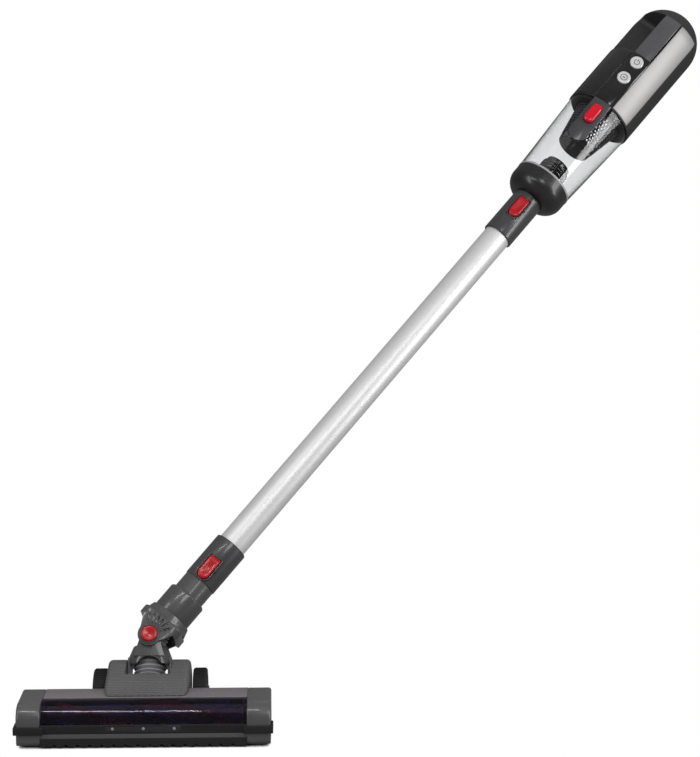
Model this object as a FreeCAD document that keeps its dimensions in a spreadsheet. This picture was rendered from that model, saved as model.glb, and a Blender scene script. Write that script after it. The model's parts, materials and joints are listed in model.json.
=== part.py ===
"""Cordless stick vacuum: floor head, swivelling elbow, wand, dust bin and hand unit.

Frame: origin on the floor under the middle of the floor head's sole, +Z up, -Y to the front
of the head, +X across it. The stick leans back about the pitch axis and over about the roll
axis, so its pieces are built upright in a stick frame (origin at the roll pivot, +Z along the
stick, -Y to its front) and placed together. Lengths are in millimetres, angles in degrees.
"""
import FreeCAD, Part
import math
import os
from types import SimpleNamespace

import Sketcher
from FreeCAD import Placement, Rotation, Vector

doc = FreeCAD.newDocument("StickVacuum")
sheet = doc.addObject("Spreadsheet::Sheet", "Sizes")

# ---------------------------------------------------------------------------- sizes
SIZES = {
    # how the stick stands
    "lean_back": 30.0,
    "lean_over": 39.5,
    "pitch_y": 38.0,
    "pitch_z": 40.0,
    "pitch_to_roll": 45.0,
    # clearances
    "running_fit": 0.05,
    "slide_fit": 0.1,
    "swing_gap": 0.4,
    "button_gap": 0.35,
    # floor head
    "head_wide": 256.0,
    "cap_wide": 24.0,
    "head_front": 50.0,
    "head_back": 8.0,
    "sole_lift": 2.0,
    "sole_rail": 9.0,
    "base_top": 41.0,
    "plate_thick": 2.2,
    "lip_top": 15.0,
    "lip_deep": 7.0,
    "notch_radius": 2.0,
    "bumper_top": 24.0,
    "bumper_thick": 3.0,
    "nub_out": 2.5,
    "led_wide": 76.0,
    "side_wall": 4.0,
    # brush
    "brush_y": 24.0,
    "brush_z": 21.5,
    "bristle_tip": 18.4,
    "chamber_gap": 1.3,
    "window_thick": 1.8,
    "core_outer": 13.0,
    "core_bore": 10.8,
    "brush_motor_radius": 10.0,
    "brush_motor_long": 92.0,
    "hub_long": 10.0,
    "stub_radius": 3.0,
    # saddle, wheels and yoke
    "saddle_half": 43.0,
    "recess_half": 24.0,
    "ear_radius": 23.0,
    "saddle_back": 56.0,
    "tray_top": 16.0,
    "saddle_wall": 3.0,
    "pin_radius": 5.0,
    "wheel_radius": 25.0,
    "tyre_thick": 4.0,
    "wheel_wide": 14.5,
    "wheel_y": 50.0,
    "axle_radius": 3.0,
    "arm_inner": 19.0,
    "arm_thick": 4.0,
    "ring_low": 16.0,
    "ring_mid": 24.0,
    "ring_high": 30.0,
    "bell_top": 36.0,
    "bell_top_radius": 18.3,
    "bell_bore": 16.3,
    "arch_radius": 15.0,
    "arch_centre": 8.0,
    "lug_foot_half": 16.0,
    "lug_thick": 4.0,
    "lug_half": 9.0,
    "hose_outer": 17.0,
    "hose_wall": 3.5,
    "hose_mouth_y": 12.0,
    "hose_mouth_z": 34.0,
    "upper_hose_outer": 14.8,
    "upper_hose_reach": 15.0,
    # elbow and neck
    "cheek_thick": 4.0,
    "cheek_radius": 12.0,
    "dome_low": 14.0,
    "shroud_half": 25.0,
    "shroud_round": 10.0,
    "dome_mid": 24.0,
    "dome_mid_radius": 26.0,
    "dome_high": 32.0,
    "dome_high_radius": 23.5,
    "bolt_radius": 4.0,
    "cap_radius": 8.4,
    "cap_thick": 3.0,
    "sleeve_radius": 21.5,
    "sleeve_top": 60.0,
    "neck_radius": 18.0,
    "neck_top": 79.0,
    "neck_bore": 12.5,
    "spigot_radius": 15.7,
    "spigot_long": 30.0,
    # wand
    "tube_outer": 16.0,
    "tube_wall": 1.2,
    "tube_long": 476.0,
    "tube_socket": 20.0,
    "lower_collar_outer": 18.8,
    "lower_collar_long": 53.0,
    "upper_collar_outer": 18.2,
    "upper_collar_long": 60.0,
    "inlet_spigot": 13.7,
    "inlet_spigot_long": 28.0,
    "latch_from_bin": 10.0,
    "latch_half": 7.0,
    "latch_long": 28.0,
    "latch_thick": 3.2,
    "latch_proud": 2.0,
    "tooth_deep": 1.0,
    # dust bin
    "cap_long": 27.5,
    "cap_round": 16.5,
    "bin_low_radius": 35.0,
    "bin_high_radius": 40.5,
    "bin_long": 111.0,
    "bin_wall": 2.0,
    "bin_ring_long": 2.5,
    "inlet_outer": 15.5,
    "inlet_wall": 2.5,
    "inlet_top": 56.0,
    "flap_thick": 2.0,
    "tongue_half": 11.5,
    "tongue_long": 60.0,
    "tongue_deep": 5.5,
    "release_half_wide": 6.2,
    "release_long": 26.0,
    "release_from_rim": 21.0,
    # hand unit
    "body_radius": 42.0,
    "body_long": 131.0,
    "shell_wall": 2.5,
    "panel_proud": 0.9,
    "panel_from": 1.5,
    "panel_over_round": 13.0,
    "panel_near_angle": 18.0,
    "panel_far_angle": 57.0,
    "control_half_angle": 17.0,
    "button_radius": 8.0,
    "button_proud": 2.2,
    "mode_up": 41.0,
    "power_up": 67.0,
    "grip_low": 79.0,
    "grip_high": 145.0,
    "grip_round": 8.0,
    "grip_floor": 1.0,
    "grip_right": 13.5,
    "strap_half": 11.0,
    "strap_inner": 28.0,
    "filter_low_radius": 20.0,
    "filter_high_radius": 29.0,
    "filter_long": 52.0,
    "filter_wall": 1.6,
    "cell_radius": 9.2,
    "cell_long": 65.0,
    "cell_y": 17.0,
    "cell_from": 58.0,
    "motor_radius": 16.0,
    "motor_low": 25.0,
    "motor_high": 52.0,
    "shaft_radius": 2.5,
    "impeller_radius": 27.0,
    "impeller_low": 8.0,
    "impeller_high": 21.0,
    "jack_bore": 2.85,
    "jack_outer": 6.0,
    "jack_deep": 10.0,
    "jack_up": 132.0,
    "screw_radius": 2.6,
}

for row, (alias, number) in enumerate(SIZES.items(), start=1):
    sheet.set(f"A{row}", alias)
    sheet.set(f"B{row}", str(number))
    sheet.setAlias(f"B{row}", alias)
doc.recompute()


class Size:
    """A length or angle kept with the sheet expression that gives it."""

    def __init__(self, text, number):
        self.text = text
        self.number = float(number)

    def __add__(self, other):
        return joined(self, "+", other)

    def __radd__(self, other):
        return joined(other, "+", self)

    def __sub__(self, other):
        return joined(self, "-", other)

    def __rsub__(self, other):
        return joined(other, "-", self)

    def __mul__(self, other):
        return joined(self, "*", other)

    def __rmul__(self, other):
        return joined(other, "*", self)

    def __truediv__(self, other):
        return joined(self, "/", other)

    def __neg__(self):
        return joined(0.0, "-", self)


def as_size(value):
    """A plain number as a Size, or the Size itself."""
    if isinstance(value, Size):
        return value
    return Size(repr(float(value)), value)


def joined(first, sign, second):
    """The sum, difference, product or quotient of two sizes, with its expression."""
    a, b = as_size(first), as_size(second)
    results = {
        "+": lambda: a.number + b.number,
        "-": lambda: a.number - b.number,
        "*": lambda: a.number * b.number,
        "/": lambda: a.number / b.number,
    }
    return Size(f"({a.text} {sign} {b.text})", results[sign]())


def root_of(value):
    """The square root of a size."""
    return Size(f"sqrt({value.text})", math.sqrt(value.number))


def sine(value):
    """The sine of an angle in degrees."""
    return Size(f"sin({value.text})", math.sin(math.radians(value.number)))


def cosine(value):
    """The cosine of an angle in degrees."""
    return Size(f"cos({value.text})", math.cos(math.radians(value.number)))


S = SimpleNamespace(**{name: Size(f"Sizes.{name}", number) for name, number in SIZES.items()})


# ---------------------------------------------------------------------------- frames
def x_turn(degrees):
    """A turn about X."""
    return Rotation(Vector(1, 0, 0), degrees)


def y_turn(degrees):
    """A turn about Y."""
    return Rotation(Vector(0, 1, 0), degrees)


def z_turn(degrees):
    """A turn about Z."""
    return Rotation(Vector(0, 0, 1), degrees)


HEAD = Placement()
YOKE = Placement(Vector(0, S.pitch_y.number, S.pitch_z.number), x_turn(-S.lean_back.number))
STICK = YOKE * Placement(Vector(0, 0, S.pitch_to_roll.number), y_turn(S.lean_over.number))

# Stations along the stick, measured from the roll pivot
collar_low = S.neck_top
tube_low = collar_low + S.lower_collar_long - S.tube_socket
wand_visible_low = collar_low + S.lower_collar_long
upper_collar_low = wand_visible_low + S.tube_long
tube_high = upper_collar_low + S.tube_socket
bin_low = upper_collar_low + S.upper_collar_long
upper_latch_low = bin_low - S.latch_long - S.latch_from_bin
ring_low = bin_low + S.cap_long
wall_low = ring_low + S.bin_ring_long
body_low = ring_low + S.bin_long
round_low = body_low + S.body_long
PARTS = []


# ---------------------------------------------------------------------------- builders
def bind(thing, prop, value):
    """Give a property its size, and tie it to the sheet."""
    thing.setExpression(prop, as_size(value).text)


def bind_base(thing, x, y, z):
    """Tie an object's position to the sheet."""
    for letter, value in zip("xyz", (x, y, z)):
        bind(thing, f".Placement.Base.{letter}", value)


AXIS_TURNS = {"X": y_turn(90), "Y": x_turn(-90), "Z": Rotation()}


def cylinder(radius, low, high, axis="Z", at=(0, 0)):
    """A cylinder from low to high along an axis; at gives its other two coordinates."""
    rod = doc.addObject("Part::Cylinder", "Rod")
    rod.Placement = Placement(Vector(), AXIS_TURNS[axis])
    bind(rod, "Radius", radius)
    bind(rod, "Height", as_size(high) - low)
    first, second = at
    bases = {"X": (low, first, second), "Y": (first, low, second), "Z": (first, second, low)}
    bind_base(rod, *bases[axis])
    return rod


def cone(low_radius, high_radius, low, high):
    """A cone frustum about the Z axis."""
    frustum = doc.addObject("Part::Cone", "Frustum")
    bind(frustum, "Radius1", low_radius)
    bind(frustum, "Radius2", high_radius)
    bind(frustum, "Height", as_size(high) - low)
    bind_base(frustum, 0, 0, low)
    return frustum


def box(x_span, y_span, z_span):
    """A block between two values on each axis."""
    block = doc.addObject("Part::Box", "Block")
    for prop, (low, high) in zip(("Length", "Width", "Height"), (x_span, y_span, z_span)):
        bind(block, prop, as_size(high) - low)
    bind_base(block, x_span[0], y_span[0], z_span[0])
    return block


def fuse(*solids):
    """Several solids joined into one."""
    union = doc.addObject("Part::MultiFuse", "Union")
    union.Shapes = list(solids)
    union.Refine = True
    return union


def cut(base, *tools):
    """A solid with tools taken out of it."""
    result = doc.addObject("Part::Cut", "Remainder")
    result.Base = base
    result.Tool = tools[0] if len(tools) == 1 else fuse(*tools)
    return result


def common(first, second):
    """What two solids share."""
    shared = doc.addObject("Part::Common", "Shared")
    shared.Base = first
    shared.Tool = second
    return shared


def group(*solids):
    """Separate solids kept in one node."""
    bundle = doc.addObject("Part::Compound", "Bundle")
    bundle.Links = list(solids)
    return bundle


def tube(outer, inner, low, high, axis="Z", at=(0, 0)):
    """A hollow cylinder, open at both ends."""
    return cut(cylinder(outer, low, high, axis, at), cylinder(inner, low, high, axis, at))


def mirrored(builder):
    """A left and a right copy: builder(side) for side -1 and +1."""
    return [builder(-1), builder(1)]


def span(side, near, far):
    """The X span from near to far on one side of the middle plane."""
    if side > 0:
        return near, far
    return -as_size(far), -as_size(near)


def sub_part(label, thing, frame):
    """Name a finished piece and place it; a bare primitive is wrapped to keep its own place."""
    if thing.TypeId in ("Part::Cylinder", "Part::Box", "Part::Cone"):
        thing = group(thing)
    thing.Label = label
    thing.Placement = frame.multiply(thing.Placement)
    PARTS.append(thing)
    return thing


class Arc:
    """An arc to a point, with its radius; bend +1 puts its centre to the left of its way."""

    def __init__(self, radius, x, y, bend=1):
        self.radius = as_size(radius)
        self.x = as_size(x)
        self.y = as_size(y)
        self.bend = bend


class Body:
    """A PartDesign body built from sketches on its own origin planes."""

    def __init__(self, name):
        self.body = doc.addObject("PartDesign::Body", name)

    def sketch(self, role, outline, offset=0.0):
        """A closed outline of points and arcs, each tied to the sheet."""
        sketch = self.body.newObject("Sketcher::SketchObject", "Outline")
        plane = [item for item in self.body.Origin.OriginFeatures if item.Role == role][0]
        sketch.AttachmentSupport = [(plane, "")]
        sketch.MapMode = "FlatFace"
        bind(sketch, ".AttachmentOffset.Base.z", offset)
        corners = [(as_size(item.x), as_size(item.y)) if isinstance(item, Arc)
                   else (as_size(item[0]), as_size(item[1])) for item in outline]
        count = len(outline)
        for index in range(count):
            start, end = corners[index], corners[(index + 1) % count]
            self.add_edge(sketch, start, end, outline[(index + 1) % count])
        for index in range(count):
            edge, previous = outline[(index + 1) % count], outline[index]
            tail = start_of(edge)
            head = end_of(previous)
            sketch.addConstraint(Sketcher.Constraint("Coincident", (index - 1) % count, head, index, tail))
            self.pin_point(sketch, index, tail, corners[index])
            if isinstance(edge, Arc):
                at = sketch.addConstraint(Sketcher.Constraint("Radius", index, edge.radius.number))
                sketch.setExpression(f"Constraints[{at}]", edge.radius.text)
        return sketch

    @staticmethod
    def add_edge(sketch, start, end, edge):
        """One line or arc of the outline, near its final place."""
        a = Vector(start[0].number, start[1].number, 0)
        b = Vector(end[0].number, end[1].number, 0)
        if not isinstance(edge, Arc):
            sketch.addGeometry(Part.LineSegment(a, b))
            return
        half = (b - a) * 0.5
        rise = math.sqrt(max(edge.radius.number ** 2 - half.Length ** 2, 0.0))
        left = Vector(-half.y, half.x, 0).normalize() * rise * edge.bend
        centre = a + half + left
        first, last = (a, b) if edge.bend > 0 else (b, a)
        angles = [math.atan2((point - centre).y, (point - centre).x) for point in (first, last)]
        circle = Part.Circle(centre, Vector(0, 0, 1), edge.radius.number)
        sketch.addGeometry(Part.ArcOfCircle(circle, angles[0], angles[1]))

    @staticmethod
    def pin_point(sketch, edge, end, corner):
        """Tie one corner's two coordinates to the sheet."""
        for kind, value, across in (("DistanceX", corner[0], -2), ("DistanceY", corner[1], -1)):
            if value.number == 0.0:
                sketch.addConstraint(Sketcher.Constraint("PointOnObject", edge, end, across))
                continue
            at = sketch.addConstraint(Sketcher.Constraint(kind, -1, 1, edge, end, value.number))
            sketch.setExpression(f"Constraints[{at}]", value.text)

    def pad(self, role, outline, low, high):
        """Extrude an outline from low to high along its plane's normal."""
        pad = self.body.newObject("PartDesign::Pad", "Extrusion")
        pad.Profile = self.sketch(role, outline, low)
        bind(pad, "Length", as_size(high) - low)
        return self

    def pocket(self, role, outline, low, high):
        """Cut an outline out from low to high along its plane's normal."""
        pocket = self.body.newObject("PartDesign::Pocket", "Recess")
        pocket.Profile = self.sketch(role, outline, low)
        pocket.Reversed = True
        bind(pocket, "Length", as_size(high) - low)
        return self

    def revolve(self, outline, angle=360.0):
        """Turn an outline of (radius, height) about the Z axis."""
        turning = self.body.newObject("PartDesign::Revolution", "Turning")
        sketch = self.sketch("XZ_Plane", outline)
        turning.Profile = sketch
        turning.ReferenceAxis = (sketch, ["V_Axis"])
        bind(turning, "Angle", angle)
        return self

    def groove(self, outline):
        """Turn an outline of (radius, height) about the Z axis and cut it out."""
        groove = self.body.newObject("PartDesign::Groove", "TurnedRecess")
        sketch = self.sketch("XZ_Plane", outline)
        groove.Profile = sketch
        groove.ReferenceAxis = (sketch, ["V_Axis"])
        groove.Angle = 360.0
        return self

    def fillet(self, radius, wanted):
        """Round every edge whose middle point meets a test."""
        doc.recompute()
        edges = []
        for number, edge in enumerate(self.body.Shape.Edges, start=1):
            middle = edge.valueAt((edge.FirstParameter + edge.LastParameter) / 2)
            if wanted(edge, middle):
                edges.append(f"Edge{number}")
        tip = self.body.Tip
        rounding = self.body.newObject("PartDesign::Fillet", "Rounding")
        rounding.Base = (tip, edges)
        bind(rounding, "Radius", radius)
        return self


def start_of(edge):
    """Which end of a sketch edge is its start along the outline."""
    return 2 if isinstance(edge, Arc) and edge.bend < 0 else 1


def end_of(edge):
    """Which end of a sketch edge is its far end along the outline."""
    return 1 if isinstance(edge, Arc) and edge.bend < 0 else 2


def rounded_rectangle(x_low, x_high, y_low, y_high, radius):
    """An anticlockwise rectangle outline with equal round corners."""
    x0, x1, y0, y1 = (as_size(value) for value in (x_low, x_high, y_low, y_high))
    return [
        (x1 - radius, y0),
        Arc(radius, x1, y0 + radius),
        (x1, y1 - radius),
        Arc(radius, x1 - radius, y1),
        (x0 + radius, y1),
        Arc(radius, x0, y1 - radius),
        (x0, y0 + radius),
        Arc(radius, x0 + radius, y0),
    ]


# ---------------------------------------------------------------------------- floor head
base_half = S.head_wide / 2 - S.cap_wide
chamber = S.bristle_tip + S.chamber_gap
window_outer = chamber + S.window_thick
brush_at = (-S.brush_y, S.brush_z)
plate_low = S.base_top
plate_high = S.base_top + S.plate_thick


def head_base():
    """Chassis: brush chamber open below and in front, side walls, wheel tray and ear ribs."""
    frame = box((-base_half, base_half), (-S.head_front, S.head_back), (S.sole_lift, S.base_top))
    tray = box((-S.saddle_half, S.saddle_half), (0, S.saddle_back), (S.sole_lift, S.tray_top))
    rail = box((-base_half, base_half), (-1, S.sole_rail - 1), (0, S.sole_lift))
    disc = cylinder(chamber, -base_half, base_half, "X", brush_at)
    inside = base_half - S.side_wall
    front = box((-base_half, base_half), (-S.head_front, -S.brush_y), (S.lip_top, S.base_top))
    hollow = cylinder(chamber, -inside, inside, "X", brush_at)
    mouth = box((-inside, inside), (-S.head_front + S.lip_deep, -S.brush_y + chamber - 1),
                (0, S.brush_z))
    top = box((-inside, inside), (-S.brush_y - 2, -S.brush_y + chamber - 5), (S.brush_z, S.base_top))
    throat = cylinder(S.hose_outer - S.hose_wall, -S.brush_y, S.hose_mouth_y, "Y", (0, 24))
    shoulder_low = S.brush_z + chamber - 3
    shoulder = box((-base_half, base_half), (-S.brush_y, -S.brush_y + 3), (shoulder_low, S.base_top))
    seat = cylinder(window_outer, -base_half, base_half, "X", brush_at)
    seat_back = -S.brush_y + 3
    seat_room = box((-base_half, base_half), (-S.head_front, seat_back), (S.bumper_top, S.base_top + 5))
    seat_way = common(cut(seat, disc), seat_room)
    shell = cut(fuse(cut(fuse(frame, rail, tray), front), disc), seat_way)
    notch_pitch = 12.0
    notches = [
        cylinder(S.notch_radius, -S.head_front, -S.head_front + S.lip_deep, "Y",
                 (notch_pitch * (number - 8) + notch_pitch / 2, S.sole_lift))
        for number in range(16)
    ]
    inner_stub = cylinder(S.stub_radius, -base_half, -inside, "X", brush_at)
    idle_pin = cylinder(S.stub_radius, -inside, -inside + S.hub_long - 1, "X", brush_at)
    carved = cut(shell, hollow, mouth, top, throat, shoulder, *notches)
    sub_part("head_base", fuse(carved, inner_stub, idle_pin), HEAD)


def head_top_plate():
    """Flat cover over the rear of the chamber, with its front edge on the window."""
    plate = box((-base_half, base_half), (-S.brush_y + 3, S.head_back), (plate_low, plate_high))
    sub_part("head_top_plate", plate, HEAD)


def window_outline(outer, inner):
    """Quarter ring from the bumper's top up to the top plate, about the brush axis."""
    rise = S.bumper_top - S.brush_z
    outer_y = -S.brush_y - root_of(outer * outer - rise * rise)
    inner_y = -S.brush_y - root_of(inner * inner - rise * rise)
    return [
        (-S.brush_y + 3, S.brush_z + root_of(outer * outer - 9.0)),
        Arc(outer, outer_y, S.bumper_top),
        (inner_y, S.bumper_top),
        Arc(inner, -S.brush_y + 3, S.brush_z + root_of(inner * inner - 9.0), bend=-1),
    ]


def brush_window():
    """Curved clear cover over the front of the brush."""
    cover = Body("WindowBody").pad("YZ_Plane", window_outline(window_outer, chamber),
                                   -base_half, base_half)
    sub_part("brush_window", cover.body, HEAD)


def end_cap(side, label):
    """Rounded block closing one end of the chamber."""
    cap_round = 14.0
    top = plate_high + 0.8
    outline = [
        (-S.head_front - 1, S.lip_top - 9),
        (-S.head_front + 3, S.sole_lift),
        (S.head_back, S.sole_lift),
        (S.head_back, top - 4),
        Arc(4.0, S.head_back - 4, top),
        (-S.head_front + cap_round + 2, top),
        Arc(cap_round + 3, -S.head_front - 1, top - cap_round - 3),
    ]
    low, high = span(side, base_half, S.head_wide / 2)
    block = Body("CapBody").pad("YZ_Plane", outline, low, high)
    outer_x = side * S.head_wide.number / 2
    block.fillet(3.0, lambda edge, middle: abs(middle.x - outer_x) < 0.01 and middle.z > 5)
    sub_part(label, block.body, HEAD)


def front_bumper():
    """Soft band along the front, with a nub round each end."""
    back = -S.head_front + S.bumper_thick
    slot_half = S.led_wide / 2
    band = box((-base_half, base_half), (-S.head_front, back), (S.lip_top, S.bumper_top))
    slot = box((-slot_half, slot_half), (-S.head_front - 1, back + 1), (S.lip_top + 2.5, S.bumper_top - 1))
    nubs = mirrored(lambda side: box(
        span(side, S.head_wide / 2, S.head_wide / 2 + S.nub_out), (-S.head_front + 2, -S.head_front + 14),
        (S.lip_top, S.bumper_top - 1)))
    fronts = mirrored(lambda side: box(
        span(side, base_half, S.head_wide / 2 + S.nub_out), (-S.head_front - 3, -S.head_front - 1),
        (S.lip_top, S.bumper_top - 1)))
    corners = mirrored(lambda side: box(
        span(side, S.head_wide / 2, S.head_wide / 2 + S.nub_out), (-S.head_front - 3, -S.head_front + 2),
        (S.lip_top, S.bumper_top - 1)))
    joints = mirrored(lambda side: box(
        span(side, base_half - 3, base_half), (-S.head_front - 3, -S.head_front),
        (S.lip_top, S.bumper_top - 1)))
    sub_part("front_bumper", fuse(cut(band, slot), *nubs, *fronts, *corners, *joints), HEAD)


def led_pieces():
    """Smoked strip in the bumper's slot, and the board with its lamps behind it."""
    slot_half = S.led_wide / 2
    low, high = S.lip_top + 2.5, S.bumper_top - 1
    strip = box((-slot_half, slot_half), (-S.head_front + 0.3, -S.head_front + 1.5), (low, high))
    sub_part("led_strip", strip, HEAD)
    board_half = slot_half - 1
    board_front = -S.head_front + 2.3
    board = box((-board_half, board_half), (board_front, board_front + 0.7), (low + 0.5, high - 0.5))
    lamps = [cylinder(1.8, -S.head_front + 1.5, -S.head_front + 2.3, "Y", (31 * step, (low + high) / 2))
             for step in (-1, 0, 1)]
    sub_part("led_board", fuse(board, *lamps), HEAD)


def saddle_cover():
    """Housing over the wheels' tray: a sloped front and two ears round the pitch pins."""
    ear_top = S.pitch_z + S.ear_radius
    start_z = plate_high
    outline = [
        (S.saddle_back, S.tray_top),
        (S.pitch_y + S.ear_radius, S.pitch_z),
        Arc(S.ear_radius, S.pitch_y, ear_top),
        (14, 58),
        (-5, 52),
        (-S.brush_y + 3, start_z),
        (S.head_back, start_z),
        (S.head_back, S.tray_top),
    ]
    cover = Body("SaddleBody").pad("YZ_Plane", outline, -S.saddle_half, S.saddle_half)
    recess = rounded_rectangle(-S.recess_half, S.recess_half, S.hose_mouth_y, S.saddle_back + 30, 2.0)
    cover.pocket("XY_Plane", recess, S.tray_top, ear_top + 5)
    for side in (-1, 1):
        low, high = span(side, S.recess_half + S.saddle_wall, S.saddle_half - S.saddle_wall)
        room = [(low, 14), (high, 14), (high, S.saddle_back - 4), (low, S.saddle_back - 4)]
        cover.pocket("XY_Plane", room, S.tray_top, S.pitch_z - S.pin_radius - 2)
    bore = cylinder(S.pin_radius, -S.saddle_half + S.saddle_wall, S.saddle_half - S.saddle_wall, "X",
                    (S.pitch_y, S.pitch_z))
    socket = cylinder(S.hose_outer - S.hose_wall, S.head_back - 1, S.hose_mouth_y + 1, "Y",
                      (0, S.hose_mouth_z))
    sub_part("saddle_cover", cut(cover.body, bore, socket), HEAD)


def pitch_pins():
    """Two pins in the ears that the yoke's arms turn on."""
    pins = mirrored(lambda side: cylinder(
        S.pin_radius, *span(side, S.arm_inner, S.saddle_half - S.saddle_wall), "X", (S.pitch_y, S.pitch_z)))
    sub_part("pitch_pins", group(*pins), HEAD)


def wheel(side, name):
    """Hub, tyre, and the gap to the axle."""
    near = S.saddle_half + 2
    far = near + S.wheel_wide
    at = (S.wheel_y, S.wheel_radius)
    low, high = span(side, near, far)
    hub = tube(S.wheel_radius - S.tyre_thick, S.axle_radius + S.running_fit, low, high, "X", at)
    sub_part(f"wheel_{name}", hub, HEAD)
    ring = tube(S.wheel_radius, S.wheel_radius - S.tyre_thick, low, high, "X", at)
    sub_part(f"tyre_{name}", ring, HEAD)


def wheel_axles():
    """Stub axle on each side of the tray, with a cap outside the wheel."""
    at = (S.wheel_y, S.wheel_radius)
    axles = []
    for side in (-1, 1):
        near = S.saddle_half
        far = S.saddle_half + S.wheel_wide + 2.3
        rod = cylinder(S.axle_radius, *span(side, near, far + 1.5), "X", at)
        head = cylinder(6.0, *span(side, far, far + 1.5), "X", at)
        axles.append(fuse(rod, head))
    sub_part("wheel_axles", group(*axles), HEAD)


# ---------------------------------------------------------------------------- brush roll
brush_half = base_half - S.side_wall - 1


def bristle_band(start_angle):
    """One helical band of tufts round the core, as short straight runs that follow it."""
    steps = 24
    turn_per_step = 360.0 / steps
    run = 2 * (brush_half.number - S.hub_long.number) / steps
    tufts = []
    tall = S.bristle_tip.number - S.core_outer.number + 1.0
    for step in range(steps):
        tuft = Part.makeBox(run, 3.4, tall)
        tuft.translate(Vector(-run / 2, -1.7, S.core_outer.number - 1.0))
        tuft.rotate(Vector(), Vector(1, 0, 0), start_angle + turn_per_step * step)
        tuft.translate(Vector(-(brush_half - S.hub_long).number + run * (step + 0.5), 0, 0))
        tufts.append(tuft)
    return tufts


def bristles(label, start_angle):
    """Two opposite helical bands of one colour."""
    core = Part.makeCylinder(S.core_outer.number, 2 * brush_half.number,
                             Vector(-brush_half.number, 0, 0), Vector(1, 0, 0))
    tufts = bristle_band(start_angle) + bristle_band(start_angle + 180)
    shape = tufts[0].multiFuse(tufts[1:]).cut(core)
    feature = doc.addObject("Part::Feature", label)
    feature.Shape = shape
    feature.Placement = Placement(Vector(0, -S.brush_y.number, S.brush_z.number), Rotation())
    sub_part(label, feature, HEAD)


def brush_pieces():
    """Core tube on its drive hub and idle hub, with the motor held inside it."""
    sub_part("brush_core", tube(S.core_outer, S.core_bore, -brush_half, brush_half, "X", brush_at), HEAD)
    bristles("bristles_red", 0)
    bristles("bristles_blue", 90)
    motor_high = base_half - S.side_wall
    motor_low = motor_high - S.brush_motor_long
    can = cylinder(S.brush_motor_radius, motor_low, motor_high, "X", brush_at)
    shaft = cylinder(S.stub_radius, motor_low - S.hub_long + 1, motor_low, "X", brush_at)
    sub_part("brush_motor", fuse(can, shaft), HEAD)
    bore = S.stub_radius + S.running_fit
    drive = tube(S.core_bore, bore, motor_low - S.hub_long, motor_low - 1, "X", brush_at)
    idle = tube(S.core_bore, bore, -brush_half, -brush_half + S.hub_long - 2, "X", brush_at)
    sub_part("brush_hubs", group(drive, idle), HEAD)


# ---------------------------------------------------------------------------- yoke and elbow
def yoke():
    """Two arms up from the pitch pins to a bell round the hose, with a lug for each bolt."""
    outer = S.arm_inner + S.arm_thick
    half_deep = S.pin_radius + S.arm_thick
    lug_inner = outer - S.lug_thick
    lug_outline = [
        (-S.lug_foot_half, S.ring_mid - 1),
        (S.lug_foot_half, S.ring_mid - 1),
        (S.lug_half, S.pitch_to_roll),
        (-S.lug_half, S.pitch_to_roll),
    ]
    bell = cone(outer, S.bell_top_radius, S.ring_mid, S.bell_top)
    parts = [cylinder(outer, S.ring_low, S.ring_mid), bell]
    for side in (-1, 1):
        across = span(side, S.arm_inner, outer)
        parts.append(box(across, (-half_deep, half_deep), (0, S.ring_mid)))
        parts.append(cylinder(half_deep, *across, "X", (0, 0)))
        parts.append(cylinder(S.lug_half, *span(side, lug_inner, outer), "Y", (0, S.pitch_to_roll)))
        near, far = (lug_inner, outer) if side < 0 else (-outer, -lug_inner)
        parts.append(Body("LugBody").pad("XZ_Plane", lug_outline, near, far).body)
    lower_bore = cylinder(S.hose_outer + 0.3, S.ring_low - 1, S.ring_high + 0.2)
    upper_bore = cylinder(S.bell_bore, S.ring_high, S.bell_top + 1)
    arch = cylinder(S.arch_radius, -outer - S.lug_thick, outer + S.lug_thick, "Y", (0, S.arch_centre))
    pins = cylinder(S.pin_radius + S.running_fit, -outer - 1, outer + 1, "X", (0, 0))
    bolts = cylinder(S.bolt_radius + S.running_fit, -outer - 1, outer + 1, "Y", (0, S.pitch_to_roll))
    sub_part("yoke", cut(fuse(*parts), lower_bore, upper_bore, arch, pins, bolts), YOKE)


def hose_lower():
    """Hose from the head's throat, bent back and up to the yoke's ring."""
    lean = S.lean_back
    ring_y = S.pitch_y + S.ring_mid * sine(lean)
    ring_z = S.pitch_z + S.ring_mid * cosine(lean)
    dy = ring_y - S.hose_mouth_y - 1
    dz = ring_z - S.hose_mouth_z
    bend_sine, bend_rise = cosine(lean), 1 - sine(lean)
    divider = bend_sine * cosine(lean) - bend_rise * sine(lean)
    bend = (dy * cosine(lean) - dz * sine(lean)) / divider
    straight = (dz - bend * bend_rise) / cosine(lean)
    solids = []
    for radius in (S.hose_outer, S.hose_outer - S.hose_wall):
        elbow = doc.addObject("Part::Torus", "Bend")
        bind(elbow, "Radius1", bend)
        bind(elbow, "Radius2", radius)
        bind(elbow, "Angle3", 90 - lean)
        turn = Rotation(Vector(0, 0, -1), Vector(0, 1, 0), Vector(1, 0, 0), "ZXY")
        elbow.Placement = Placement(Vector(), turn)
        bind_base(elbow, 0, S.hose_mouth_y + 1, S.hose_mouth_z + bend)
        run = doc.addObject("Part::Cylinder", "Run")
        run.Placement = Placement(Vector(), x_turn(-S.lean_back.number))
        bind(run, "Radius", radius)
        bind(run, "Height", straight + S.ring_high - S.ring_mid)
        bind_base(run, 0, S.hose_mouth_y + 1 + bend * bend_sine, S.hose_mouth_z + bend * bend_rise)
        solids.append(fuse(elbow, run))
    sub_part("hose_lower", cut(*solids), HEAD)


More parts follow.
